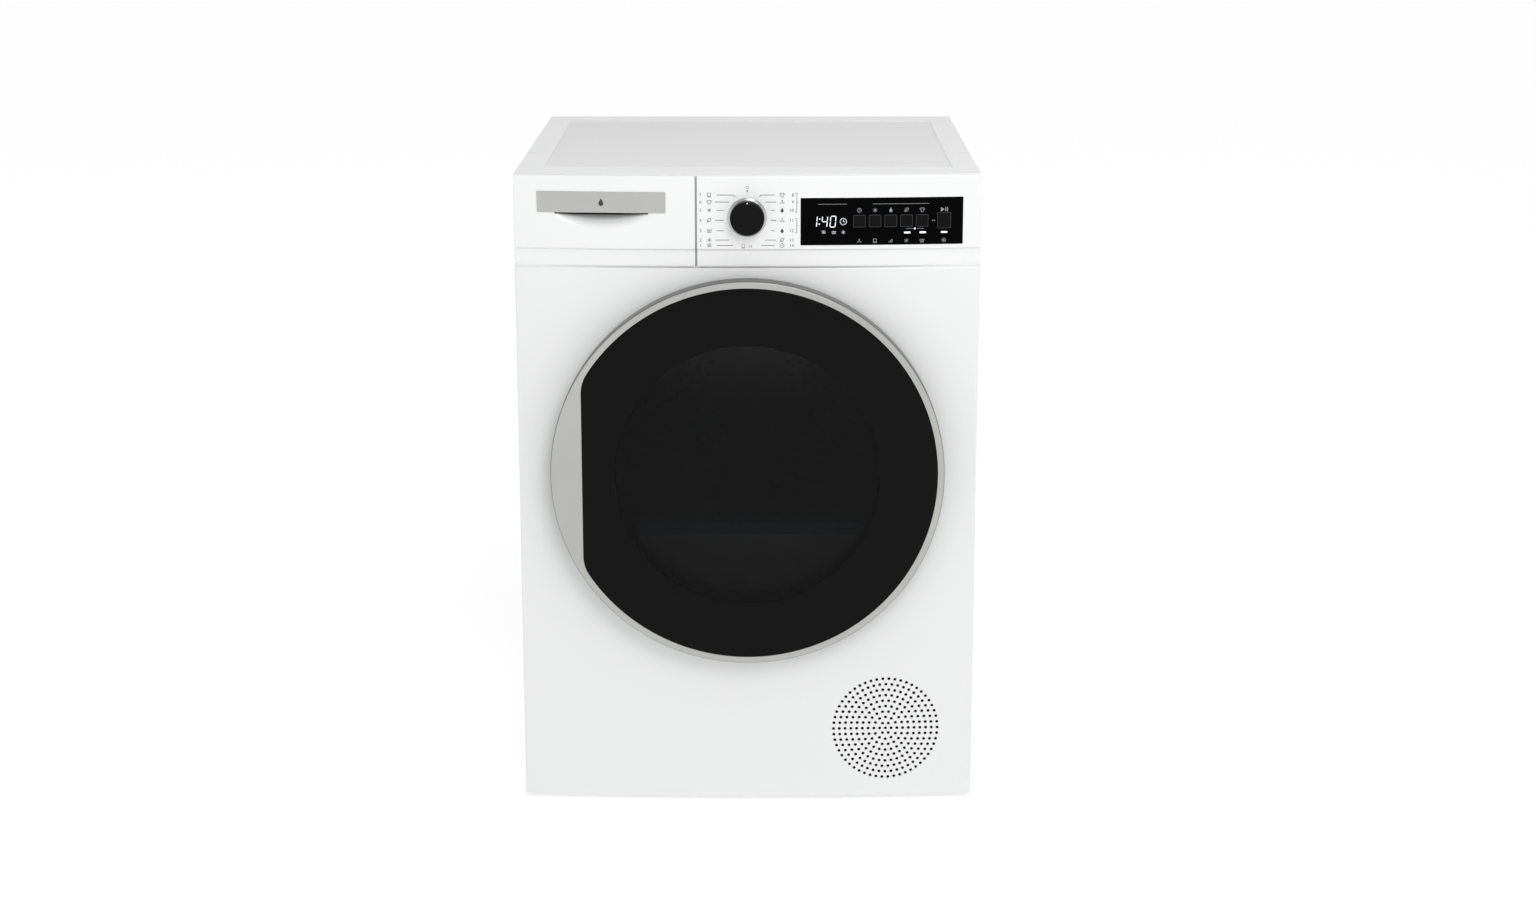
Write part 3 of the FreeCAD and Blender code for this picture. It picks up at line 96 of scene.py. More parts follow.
# ---------------------------------------------------------------- materials
def ramp(value, low, high):
    """A Map Range node from 0..1 to low..high on that output."""
    tree = value.id_data
    n = tree.nodes.new("ShaderNodeMapRange")
    n.inputs["To Min"].default_value, n.inputs["To Max"].default_value = low, high
    tree.links.new(value, n.inputs["Value"])
    return n.outputs[0]


def noise(tree, vector, scale, detail=2.0):
    """Noise from 0 to 1 at that scale, in metres."""
    n = tree.nodes.new("ShaderNodeTexNoise")
    n.inputs["Scale"].default_value, n.inputs["Detail"].default_value = scale, detail
    tree.links.new(vector, n.inputs["Vector"])
    return n.outputs["Fac"]


def material(name, colour, rough, metal=0.0, vary=0.03, patch=12.0, swing=0.05, grain=300.0, bump=0.05,
             depth=0.0002, stretch=(1, 1, 1), spec=0.5, coat=0.0, alpha=1.0, turned=None, glow=0.0, sheen=0.0,
             aniso=0.0):
    """A Principled material: its colour and roughness drift in patches, and its surface has a fine grain.

    vary and swing are how far the colour and the roughness drift, in patches of the scale patch. grain is the scale
    of the fine noise, and bump and depth are its strength and height in metres. stretch pulls it along an axis
    (brushing); turned=(x, z) makes grooves around a line along Y there, and aniso draws their highlight out.
    """
    m = bpy.data.materials.new(name)
    m.use_nodes = True
    tree = m.node_tree
    shader = tree.nodes["Principled BSDF"]
    link, new = tree.links.new, tree.nodes.new
    place = new("ShaderNodeTexCoord").outputs["Object"]
    if turned:
        centre = new("ShaderNodeVectorMath")
        centre.operation = "SUBTRACT"
        centre.inputs[1].default_value = (turned[0] * MM, 0, turned[1] * MM)
        link(place, centre.inputs[0])
        flat = new("ShaderNodeVectorMath")
        flat.operation = "MULTIPLY"
        flat.inputs[1].default_value = (1, 0, 1)
        link(centre.outputs[0], flat.inputs[0])
        far = new("ShaderNodeVectorMath")
        far.operation = "LENGTH"
        link(flat.outputs[0], far.inputs[0])
        fine = new("ShaderNodeTexNoise")
        fine.noise_dimensions = "1D"
        fine.inputs["Scale"].default_value, fine.inputs["Detail"].default_value = grain, 3
        link(far.outputs["Value"], fine.inputs["W"])
        grained = fine.outputs["Fac"]
        around_axis = new("ShaderNodeTangent")
        around_axis.direction_type, around_axis.axis = "RADIAL", "Y"
        link(around_axis.outputs[0], shader.inputs["Tangent"])
    else:
        scaled = new("ShaderNodeMapping")
        scaled.inputs["Scale"].default_value = stretch
        link(place, scaled.inputs["Vector"])
        grained = noise(tree, scaled.outputs[0], grain, 3)
    drift = noise(tree, place, patch)
    both = new("ShaderNodeMath")
    both.operation = "ADD"
    link(drift, both.inputs[0])
    link(ramp(grained, 0, 0.6), both.inputs[1])
    mix = new("ShaderNodeMix")
    mix.data_type = "RGBA"
    mix.inputs["A"].default_value = (*[c * (1 - vary) for c in colour], 1)
    mix.inputs["B"].default_value = (*[min(1, c * (1 + vary)) for c in colour], 1)
    link(ramp(both.outputs[0], -0.3, 0.95), mix.inputs["Factor"])
    link(mix.outputs["Result"], shader.inputs["Base Color"])
    link(ramp(drift, max(0.0, rough - swing), min(1.0, rough + swing)), shader.inputs["Roughness"])
    if bump:
        b = new("ShaderNodeBump")
        b.inputs["Strength"].default_value, b.inputs["Distance"].default_value = bump, depth
        link(grained, b.inputs["Height"])
        link(b.outputs[0], shader.inputs["Normal"])
    for key, value in (("Metallic", metal), ("Specular IOR Level", spec), ("Coat Weight", coat),
                       ("Coat Roughness", 0.05), ("Alpha", alpha), ("IOR", 1.5), ("Sheen Weight", sheen),
                       ("Anisotropic", aniso)):
        shader.inputs[key].default_value = value
    if glow:
        shader.inputs["Emission Color"].default_value = (*colour, 1)
        shader.inputs["Emission Strength"].default_value = glow
    return m


ENAMEL = material("enamel", (0.730, 0.732, 0.735), 0.30, vary=0.002, patch=2.5, swing=0.015, grain=260, bump=0.03,
                  depth=0.0003, coat=0.3)
COVER = material("cover_plastic", (0.757, 0.759, 0.762), 0.32, vary=0.002, patch=2.5, swing=0.015, grain=420,
                 bump=0.02, coat=0.25)
LAMINATE = material("laminate", (0.77, 0.77, 0.77), 0.42, vary=0.006, patch=5, swing=0.02, grain=520, bump=0.10)
SILVER = material("turned_silver", (0.42, 0.42, 0.412), 0.34, metal=0.85, vary=0.07, grain=1500, bump=0.05,
                  depth=0.0001, turned=(0, DOOR_Z), aniso=0.6)
BRUSHED = material("brushed_silver", (0.46, 0.46, 0.455), 0.30, metal=0.85, vary=0.06, grain=60, bump=0.06,
                   depth=0.0001, stretch=(1, 30, 40))
RIM = material("rim_grey", (0.115, 0.115, 0.118), 0.36, metal=0.2, vary=0.05, grain=700, bump=0.04)
GLASS_EDGE = material("glass_black", (0.0035, 0.0035, 0.0038), 0.06, vary=0.05, bump=0.0, swing=0.02, spec=0.07)
GLASS_CLEAR = material("glass_tint", (0.0038, 0.0038, 0.0041), 0.05, vary=0.05, bump=0.0, swing=0.01, spec=0.09,
                       alpha=0.63)
WINDOW = material("window_black", (0.0013, 0.0013, 0.0014), 0.12, vary=0.05, bump=0.0, swing=0.03, spec=0.02)
KEY = material("key_black", (0.0045, 0.0045, 0.0048), 0.20, vary=0.08, grain=900, bump=0.05, spec=0.05)
PRINT = material("print_grey", (0.035, 0.035, 0.037), 0.5, vary=0.05, grain=900, bump=0.02)
# glowing white: the display's lit segments, and on the knob's pointer a painted glow
LIT_AND_PAINTED_GLOW = material("lit_white_and_painted_glow", (0.92, 0.94, 1.0), 0.5, vary=0.01, grain=900, bump=0.0, glow=0.45)
SOFT = material("soft_print", (0.52, 0.54, 0.57), 0.5, vary=0.02, grain=900, bump=0.0, glow=0.15)
DIM = material("dim_print", (0.26, 0.27, 0.28), 0.5, vary=0.04, grain=900, bump=0.0)
LINE = material("key_outline", (0.075, 0.075, 0.08), 0.5, vary=0.04, grain=900, bump=0.0, spec=0.1)
BLACK = material("knob_black", (0.0045, 0.0045, 0.005), 0.32, vary=0.06, grain=800, bump=0.05, spec=0.07)
SKIRT = material("knob_skirt", (0.58, 0.58, 0.58), 0.22, metal=0.9, vary=0.04, grain=1800, bump=0.03,
                 turned=(0, KNOB_Z))
ZINC = material("zinc", (0.56, 0.57, 0.58), 0.42, metal=0.9, vary=0.12, patch=55, swing=0.12, grain=90, bump=0.05)
PRESSED = material("pressed_zinc", (0.46, 0.47, 0.48), 0.38, metal=0.9, vary=0.10, patch=45, swing=0.10, grain=90,
                   bump=0.05)
STEEL = material("steel", (0.60, 0.60, 0.60), 0.26, metal=1.0, vary=0.05, patch=20, grain=40, bump=0.04,
                 stretch=(30, 1, 30))
DRUM = material("drum_steel", (0.66, 0.66, 0.66), 0.24, metal=1.0, vary=0.06, patch=25, grain=60, bump=0.05,
                stretch=(12, 1, 12))
GREY = material("moulded_grey", (0.36, 0.365, 0.37), 0.48, vary=0.03, grain=700, bump=0.12)
LIGHT = material("moulded_light", (0.62, 0.625, 0.63), 0.42, vary=0.02, grain=700, bump=0.10)
CHARCOAL = material("moulded_charcoal", (0.07, 0.07, 0.072), 0.5, vary=0.06, grain=700, bump=0.12)
DARK = material("moulded_black", (0.025, 0.025, 0.027), 0.5, vary=0.1, grain=800, bump=0.15)
RUBBER = material("rubber", (0.03, 0.03, 0.03), 0.7, vary=0.1, grain=500, bump=0.15)
SEAL = material("seal_rubber", (0.20, 0.20, 0.205), 0.62, vary=0.08, grain=400, bump=0.12)
FELT = material("felt", (0.30, 0.30, 0.29), 0.95, vary=0.25, grain=900, bump=0.6, depth=0.0006, sheen=0.4)
COPPER = material("copper", (0.75, 0.36, 0.22), 0.28, metal=1.0, vary=0.12, patch=40, grain=120, bump=0.03)
BRONZE = material("bronze", (0.52, 0.38, 0.18), 0.38, metal=1.0, vary=0.1, grain=500, bump=0.08)
FINS = material("fins", (0.72, 0.73, 0.74), 0.35, metal=1.0, vary=0.06, grain=300, bump=0.04)
IRON = material("motor_iron", (0.13, 0.135, 0.14), 0.45, metal=0.6, vary=0.1, grain=60, bump=0.1, stretch=(1, 30, 1))
BOARD_GREEN = material("board", (0.02, 0.10, 0.05), 0.35, vary=0.15, grain=300, bump=0.05)
TANK = material("tank_plastic", (0.70, 0.72, 0.74), 0.35, vary=0.02, grain=500, bump=0.05)
BOWL = material("bowl_clear", (0.10, 0.103, 0.106), 0.06, vary=0.01, bump=0.0, swing=0.02, alpha=0.05, spec=0.05)
FILTER = material("filter_plastic", (0.14, 0.19, 0.24), 0.42, vary=0.05, grain=600, bump=0.1)
SCREEN = material("dust_screen", (0.006, 0.006, 0.006), 0.9, vary=0.2, grain=900, bump=0.3, spec=0.05)

# the CAD meshes that stay as they are, by finish
CAD_FINISH = {
    ENAMEL: "side_panel_left side_panel_right",
    LAMINATE: "worktop_panel",
    ZINC: "rear_panel rear_bulkhead hinge_bracket door_hinge_leaf",
    PRESSED: "rear_duct_cover",
    STEEL: "cabinet_screws motor_rotor",
    DRUM: "drum_shell drum_back",
    GREY: "base_tray tank_housing filter_housing fan_housing heat_exchanger_cover drum_lifters",
    LIGHT: "front_bulkhead door_latch",
    CHARCOAL: "door_inner_frame",
    DARK: "condensate_pump drain_spigot mains_inlet rear_feet foot_front_left foot_front_right fan_impeller "
          "compressor",
    RUBBER: "drive_belt drain_hose roller_left roller_right",
    SEAL: "door_seal",
    FELT: "felt_seals",
    COPPER: "refrigerant_pipes",
    BRONZE: "drum_bearing",
    FINS: "heat_exchangers",
    IRON: "drive_motor",
    BOARD_GREEN: "control_board",
    TANK: "tank_body",
    BOWL: "door_window",
    FILTER: "lint_filter",
}
for finish, names in CAD_FINISH.items():
    for node in names.split():
        NODES[node].data.materials.clear()
        NODES[node].data.materials.append(finish)


# ---------------------------------------------------------------- meshes
def piece(name, mesh, body, finishes, replaces=(), indices=None, sharp=35.0, weighted=True):
    """Makes an object from (points in mm, faces), smooth up to the sharp angle, and hangs it on a body."""
    points, faces = mesh
    data = bpy.data.meshes.new(name)
    data.from_pydata([Vector(p) * MM for p in points], [], faces)
    data.validate()
    for f in finishes if isinstance(finishes, (list, tuple)) else [finishes]:
        data.materials.append(f)
    if indices is not None:
        data.polygons.foreach_set("material_index", indices)
    b = bmesh.new()
    b.from_mesh(data)
    bmesh.ops.remove_doubles(b, verts=b.verts, dist=1e-7)
    bmesh.ops.recalc_face_normals(b, faces=b.faces)
    b.to_mesh(data)
    b.free()
    data.shade_smooth()
    data.set_sharp_from_angle(angle=math.radians(sharp))
    obj = bpy.data.objects.new(name, data)
    bpy.context.scene.collection.objects.link(obj)
    if weighted:
        w = obj.modifiers.new("even shading", "WEIGHTED_NORMAL")
        w.keep_sharp, w.weight = True, 60
    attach(obj, body)
    if replaces:
        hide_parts(*replaces)
    return obj


def join(*meshes):
    """One mesh from several (points, faces)."""
    points, faces = [], []
    for p, f in meshes:
        n = len(points)
        points += list(p)
        faces += [tuple(i + n for i in face) for face in f]
    return points, faces


def circle(x, z, r, count):
    return [(x + r * math.cos(2 * math.pi * k / count), z + r * math.sin(2 * math.pi * k / count))
            for k in range(count)]


def rounded(u, v, r, steps=5, us=(), vs=()):
    """Counter-clockwise rectangle with rounded corners, with extra points where grid lines meet its sides."""
    (u0, u1), (v0, v1) = u, v
    inside_u = sorted({round(a, 4) for a in us if u0 + r + 0.2 < a < u1 - r - 0.2})
    inside_v = sorted({round(a, 4) for a in vs if v0 + r + 0.2 < a < v1 - r - 0.2})
    loop = []

    def corner(cu, cv, start):
        if r < 1e-6:
            loop.append((cu, cv))
            return
        for k in range(steps + 1):
            a = math.radians(start + 90 * k / steps)
            loop.append((cu + r * math.cos(a), cv + r * math.sin(a)))

    corner(u1 - r, v0 + r, 270)
    loop += [(u1, a) for a in sorted(inside_v)]
    corner(u1 - r, v1 - r, 0)
    loop += [(a, v1) for a in sorted(inside_u, reverse=True)]
    corner(u0 + r, v1 - r, 90)
    loop += [(u0, a) for a in sorted(inside_v, reverse=True)]
    corner(u0 + r, v0 + r, 180)
    loop += [(a, v0) for a in sorted(inside_u)]
    return loop


def shrunk(loop, by):
    """The counter-clockwise loop moved inwards by that much."""
    p = np.array(loop, float)
    ahead = np.roll(p, -1, 0) - p
    ahead /= np.linalg.norm(ahead, axis=1)[:, None]
    behind = np.roll(ahead, 1, 0)
    n1 = np.stack([-ahead[:, 1], ahead[:, 0]], 1)
    n0 = np.stack([-behind[:, 1], behind[:, 0]], 1)
    n = n0 + n1
    n /= np.maximum((n * n1).sum(1), 0.3)[:, None]
    return p + n * by


def within(points, loop):
    """Which points lie inside the loop."""
    q, (x, y) = np.array(loop), points.T
    inside = np.zeros(len(points), bool)
    for (x0, y0), (x1, y1) in zip(q, np.roll(q, -1, 0)):
        if y0 == y1:
            continue
        crosses = (y0 > y) != (y1 > y)
        inside ^= crosses & (x < (x1 - x0) * (y - y0) / (y1 - y0) + x0)
    return inside


def skin(outline, holes, place, us, vs, edge=0.8, depth=3.0, hole_edge=0.3, hole_depth=2.0, steps=3, clear=1.5):
    """A sheet over (u, v) with rounded edges and holes. place(u, v, d) gives the point d under the surface.

    us and vs are the grid lines that let the sheet bend; they stay clear of the edges. edge and hole_edge are the
    radii of the edges, depth and hole_depth how far their walls reach back, as numbers or functions of (u, v).
    """
    flat, ties, walls = [], [], []
    loops = [(outline, edge, depth, 1)] + [(h, hole_edge, hole_depth, -1) for h in holes]
    for loop, r, wall, sign in loops:
        # the flat part starts where the rounding of the edge ends
        cap = shrunk(loop, sign * r)
        first = len(flat)
        flat += [tuple(c) for c in cap]
        n = len(cap)
        ties += [(first + k, first + (k + 1) % n) for k in range(n)]
        walls.append((loop, r, wall, sign, first, n))
    us, vs = sorted({round(u, 4) for u in us}), sorted({round(v, 4) for v in vs})
    grid = np.array([(u, v) for u in us for v in vs], float).reshape(-1, 2)
    if len(grid):
        keep = within(grid, shrunk(outline, edge + clear))
        for h in holes:
            lo, hi = np.min(h, 0) - 5, np.max(h, 0) + 5
            near = keep & (grid > lo).all(1) & (grid < hi).all(1)
            if near.any():
                keep[near] &= ~within(grid[near], shrunk(h, -(hole_edge + clear)))
        flat += [tuple(g) for g in grid[keep]]
    got, _, tris, kept, _, _ = geometry.delaunay_2d_cdt([Vector(f) for f in flat], ties, [], 0, 1e-7)
    got = np.array([tuple(g) for g in got])
    origin = [k[0] if k else -1 for k in kept]
    owner = np.full(len(flat), -1)
    for k, (_, _, _, _, first, n) in enumerate(walls):
        owner[first:first + n] = k
    tris = np.array([t for t in tris if len(t) == 3])
    middle = got[tris].mean(1)
    ok = within(middle, shrunk(outline, edge))
    own = owner[np.array(origin)][tris]
    ok &= ~((own[:, 0] == own[:, 1]) & (own[:, 1] == own[:, 2]) & (own[:, 0] > 0))
    points = [place(u, v, 0.0) for u, v in got]
    index = {o: k for k, o in enumerate(origin)}
    faces = [tuple(int(i) for i in t) for t in tris[ok]]
    for loop, r, wall, sign, first, n in walls:
        rows = []
        for s in range(1, steps + 1):
            a = math.pi / 2 * s / steps
            rows.append((sign * r * (1 - math.sin(a)), r * (1 - math.cos(a))))
        ring = [index[first + k] for k in range(n)]
        deep = [wall(*p) if callable(wall) else wall for p in loop]
        if max(deep) <= 0:
            continue
        levels = [(shrunk(loop, inset), [d] * n) for inset, d in rows if r > 0] + [(np.array(loop), deep)]
        for at, ds in levels:
            base = len(points)
            points += [place(u, v, d) for (u, v), d in zip(at, ds)]
            new = list(range(base, base + n))
            for k in range(n):
                j = (k + 1) % n
                faces.append((ring[k], ring[j], new[j], new[k]))
            ring = new
    return points, faces


def span(low, high, step):
    """Evenly spaced values from low to high, about that far apart."""
    n = max(1, round((high - low) / step))
    return [low + (high - low) * k / n for k in range(n + 1)]


def lathe(profile, x, z, count=160):
    """Turns (radius, y) points around a line along Y at (x, z)."""
    points, faces = [], []
    for r, y in profile:
        points += [(x + r * math.cos(2 * math.pi * k / count), y, z + r * math.sin(2 * math.pi * k / count))
                   for k in range(count)]
    for row in range(len(profile) - 1):
        for k in range(count):
            j = (k + 1) % count
            a, b = row * count, (row + 1) * count
            faces.append((a + k, a + j, b + j, b + k))
    return points, faces


def lattice(rows, closed=True):
    """Quads between rows of points of equal length."""
    n = len(rows[0])
    points = [p for row in rows for p in row]
    faces = []
    for r in range(len(rows) - 1):
        for k in range(n if closed else n - 1):
            j = (k + 1) % n
            faces.append((r * n + k, r * n + j, (r + 1) * n + j, (r + 1) * n + k))
    return points, faces


# ---------------------------------------------------------------- front panel
def panel_place(u, v, d):
    return (u, bow(u, PANEL_SAG) + d, v)


def build_front_panel():
    us, vs = span(-HALF, HALF, 13), span(PANEL_LO.z, PANEL_HI.z, 14)
    outline = rounded((-HALF, HALF), (PANEL_LO.z, PANEL_HI.z), 2.6, 4, us, vs)
    # the loading port, and a rosette of air holes
    holes = [circle(0, DOOR_Z, PORT_R, 192), circle(VENT_X, VENT_Z, AIR_HOLE_R, 14)]
    for ring in range(1, AIR_RINGS + 1):
        for k in range(6 * ring):
            a = 2 * math.pi * k / (6 * ring)
            holes.append(circle(VENT_X + AIR_PITCH * ring * math.cos(a), VENT_Z + AIR_PITCH * ring * math.sin(a),
                                AIR_HOLE_R, 14))

    def wall(u, v):
        """The folded edge is short at the sides, where the side panels meet it."""
        return 3.8 if abs(u) > HALF - 1.3 else 14.0

    mesh = skin(outline, holes, panel_place, us, vs, edge=2.2, depth=wall, hole_edge=0.2, hole_depth=1.6, steps=4)
    piece("front_sheet", mesh, "cabinet", ENAMEL, ("front_panel", "vent_grille"))
    # folded collar of the loading port
    y0, y1 = bow(0, PANEL_SAG) + 1.0, -268.0
    mesh = lathe([(PORT_R - 0.3, y0), (PORT_R - 0.3, y1), (PORT_R + 1.4, y1), (PORT_R + 1.4, y0 + 4)], 0, DOOR_Z, 192)
    piece("port_collar", mesh, "cabinet", ENAMEL)
    # dust screen behind the air holes
    y0 = bow(VENT_X, PANEL_SAG) + 4.5
    mesh = lathe([(0.01, y0), (VENT_R - 1, y0), (VENT_R, y0 + 1), (VENT_R, y0 + 3)], VENT_X, VENT_Z, 48)
    piece("vent_screen", mesh, "cabinet", SCREEN)
    # strip that closes the joint under the fascia
    columns = span(-HALF + 2, HALF - 2, 12)
    rows = [[(x, bow(x, PANEL_SAG) + d, z) for x in columns] for d, z in
            ((6.0, PANEL_HI.z - 2), (2.6, PANEL_HI.z - 1.5), (2.6, FASCIA_LO.z + 2.0), (6.0, FASCIA_LO.z + 2.5))]
    piece("joint_strip", lattice(rows, closed=False), "cabinet", ENAMEL)


build_front_panel()


# ---------------------------------------------------------------- fascia
CREASE_Z = 755.5                     # the face steps back under this line


def section(top, bottom):
    """The fascia's section from its bottom to its top, as (depth, z)."""
    crease = CREASE_Z
    rows = [(8.0, bottom), (4.6, bottom), (3.9, bottom + 0.25), (3.5, bottom + 0.9), (3.3, bottom + 2.0),
            (3.1, crease - 3.6), (3.0, crease - 2.9), (2.6, crease - 2.4), (1.6, crease - 1.9), (0.7, crease - 1.4),
            (0.2, crease - 0.8), (0.0, crease + 0.1)]
    r = 2.4
    rows += [(r - r * math.cos(math.radians(a)), top - r + r * math.sin(math.radians(a))) for a in
             (0, 18, 36, 54, 72, 90)]
    return rows


FASCIA_ROWS = section(FASCIA_HI.z, FASCIA_LO.z)


def unroll(rows):
    """Distance along the section, set so that on the upright face it equals z."""
    level = next(k for k, (depth, _) in enumerate(rows) if depth == 0.0)
    at = [0.0]
    for (d0, z0), (d1, z1) in zip(rows, rows[1:]):
        at.append(at[-1] + math.hypot(d1 - d0, z1 - z0))
    shift = rows[level][1] - at[level]
    return [a + shift for a in at]


FASCIA_AT = unroll(FASCIA_ROWS)


def on_section(v):
    """(depth, z, inward normal in y and z) at that distance along the section."""
    k = min(max(np.searchsorted(FASCIA_AT, v) - 1, 0), len(FASCIA_AT) - 2)
    t = (v - FASCIA_AT[k]) / (FASCIA_AT[k + 1] - FASCIA_AT[k])
    (d0, z0), (d1, z1) = FASCIA_ROWS[k], FASCIA_ROWS[k + 1]
    length = math.hypot(d1 - d0, z1 - z0)
    return d0 + (d1 - d0) * t, z0 + (z1 - z0) * t, (z1 - z0) / length, -(d1 - d0) / length


def fascia_place(u, v, d):
    depth, z, ny, nz = on_section(v)
    return (u, bow(u, FASCIA_SAG) + depth + d * ny, z + d * nz)


PLATE_X = (PLATE_LO.x, PLATE_HI.x)
PLATE_Z = (PLATE_LO.z, PLATE_HI.z)
SCOOP_X = sum(PLATE_X) / 2
SCOOP_DEPTH = 22.0
SCOOP_SAG, SCOOP_HALF = 22.5, 68.0   # height and half width of its outline, an arc that hangs under the plate
SCOOP_R = (SCOOP_HALF ** 2 + SCOOP_SAG ** 2) / (2 * SCOOP_SAG)


def scoop(u, v):
    """Depth of the finger scoop: a soft hollow that deepens towards the plate."""
    inside = (SCOOP_R - math.hypot(u - SCOOP_X, v - (PLATE_Z[0] - SCOOP_SAG + SCOOP_R))) / SCOOP_SAG
    if inside <= 0 or v > PLATE_Z[0] + 3:
        return 0.0
    return SCOOP_DEPTH * min(1.0, inside) ** 1.45


POCKET_BACK = -265.5
PLATE_PROUD, WINDOW_PROUD, KEY_PROUD = 0.9, 0.12, 0.45      # how far parts stand in front of the fascia


def proud(by):
    """A place() for skin: the fascia's bow, that far in front of it."""
    return lambda u, v, d: (u, bow(u, FASCIA_SAG) - by + d, v)


def tank_place(u, v, d):
    x, y, z = fascia_place(u, v, d)
    return (x, y + scoop(u, v), z)


def build_fascia():
    rows = FASCIA_AT[1:-1]
    face = span(FASCIA_AT[12], FASCIA_AT[-7], 9)         # the upright face, between the crease and the top edge
    us = span(FASCIA_LO.x, HALF, 9)
    outline = rounded((FASCIA_LO.x, HALF), (FASCIA_AT[0], FASCIA_AT[-1]), 0.0, 1, us, rows + face)
    window = rounded((WINDOW_LO.x - 0.2, WINDOW_HI.x + 0.2), (WINDOW_LO.z - 0.2, WINDOW_HI.z + 0.2), 1.0, 3,
                     span(WINDOW_LO.x, WINDOW_HI.x, 9))
    bore = circle(0, KNOB_Z, 9.0, 40)
    mesh = skin(outline, [window, bore], fascia_place, us, rows + face, edge=0.9, depth=5.0, hole_edge=0.2,
                hole_depth=2.2, clear=0.2)
    piece("control_fascia_shell", mesh, "cabinet", COVER, ("control_fascia",))

    us = sorted(span(-HALF, TANK_HI.x, 9) + span(SCOOP_X - 70, SCOOP_X + 70, 2.5))
    scoop_rows = span(PLATE_Z[0] - 24, PLATE_Z[0] - 3.0, 1.6)
    vs = sorted(rows + face + scoop_rows)
    outline = rounded((-HALF, TANK_HI.x), (FASCIA_AT[0], FASCIA_AT[-1]), 0.0, 1, us, vs)
    slot_x = (SCOOP_X - 60, SCOOP_X + 60)
    slot = rounded(slot_x, (PLATE_Z[0] - 2.0, PLATE_Z[1] - 2), 0.0, 1, span(slot_x[0], slot_x[1], 2.5))
    mesh = skin(outline, [slot], tank_place, us, vs, edge=0.9, depth=5.0, hole_edge=0.0, hole_depth=0.0, clear=0.3)
    piece("tank_drawer_shell", mesh, "tank", COVER, ("tank_front",))

    # narrow flange of the fascia, 3 mm back, that closes the seam beside the tank drawer
    rows = [[(x, bow(x, FASCIA_SAG) + depth + 3.0, z) for x in (SEAM_X - 1.0, SEAM_X + SEAM_GAP / 2)]
            for depth, z in FASCIA_ROWS[3:-3]]
    piece("seam_strip", lattice(rows, closed=False), "cabinet", GREY)

    # pocket behind the plate, open to the front; it is moulded black as painted shade, to stand for the shadow under
    # the plate
    x0, x1 = slot_x[0] - 1, slot_x[1] + 1
    z0, z1 = PLATE_Z[0] - 2.6, PLATE_Z[1] - 1
    columns = span(x0, x1, 6)
    mouth = [(x, z0) for x in columns] + [(x, z1) for x in reversed(columns)]
    pocket, faces = lattice([[(x, bow(x, FASCIA_SAG) + 2.2, z) for x, z in mouth],
                             [(x, POCKET_BACK, z) for x, z in mouth]])
    n = len(columns)
    # its back wall joins the lower and the upper half of the rear ring
    faces += [(2 * n + k, 2 * n + k + 1, 4 * n - 2 - k, 4 * n - 1 - k) for k in range(n - 1)]
    piece("tank_grip_pocket_painted_shade", (pocket, faces), "tank", DARK)

    # silver plate over it
    us = span(PLATE_X[0], PLATE_X[1], 9)
    outline = rounded(PLATE_X, PLATE_Z, 0.6, 3, us)
    mesh = skin(outline, [], proud(PLATE_PROUD), us, [], edge=0.45, depth=2.3)
    piece("tank_plate", mesh, "tank", BRUSHED, ("tank_handle_plate",))


build_fascia()


# ---------------------------------------------------------------- display and buttons
BUTTONS = ("delay_button", "timer_button", "level_button", "delicate_button", "crease_button", "start_button")


def build_display():
    us = span(WINDOW_LO.x, WINDOW_HI.x, 8)
    holes = []
    for name in BUTTONS:
        lo, hi = mm_box(name)
        holes.append(rounded((lo.x - 0.35, hi.x + 0.35), (lo.z - 0.35, hi.z + 0.35), 1.4, 4))
    outline = rounded((WINDOW_LO.x, WINDOW_HI.x), (WINDOW_LO.z, WINDOW_HI.z), 1.0, 3, us)
    mesh = skin(outline, holes, proud(WINDOW_PROUD), us, [], edge=0.25, depth=2.2, hole_edge=0.15, hole_depth=2.2)
    piece("display_glass", mesh, "cabinet", WINDOW, ("display_window",))
    for name in BUTTONS:
        lo, hi = mm_box(name)
        outline = rounded((lo.x, hi.x), (lo.z, hi.z), 1.2, 4)
        mesh = skin(outline, [], proud(KEY_PROUD), [(lo.x + hi.x) / 2], [(lo.z + hi.z) / 2], edge=0.5, depth=7.4,
                    steps=4)
        piece(name + "_cap", mesh, name, KEY, (name,))


build_display()


# ---------------------------------------------------------------- knob
def build_knob():
    face = bow(0, FASCIA_SAG)            # y of the fascia behind it
    tip = KNOB_LO.y
    r, skirt_r = 22.2, (KNOB_HI.z - KNOB_LO.z) / 2
    profile = [(0.01, tip + 0.9), (8, tip + 0.75), (14, tip + 0.35), (17.5, tip + 0.05), (19.2, tip + 0.05),
               (20.6, tip + 0.5), (21.5, tip + 1.5), (21.9, tip + 2.9), (r, tip + 6), (r, face - 4.4),
               (r - 0.6, face - 4.2), (r - 3, face - 4.2)]
    piece("knob_cap", lathe(profile, 0, KNOB_Z), "knob", BLACK, ("program_knob",))
    profile = [(r - 3, face - 4.5), (r + 0.15, face - 4.5), (r + 0.5, face - 4.4), (r + 0.9, face - 4.0),
               (skirt_r - 0.5, face - 2.2), (skirt_r - 0.1, face - 1.8), (skirt_r, face - 1.3), (skirt_r, face - 0.6),
               (skirt_r - 0.4, face - 0.35), (r - 3, face - 0.35)]
    piece("knob_skirt", lathe(profile, 0, KNOB_Z), "knob", SKIRT)


build_knob()


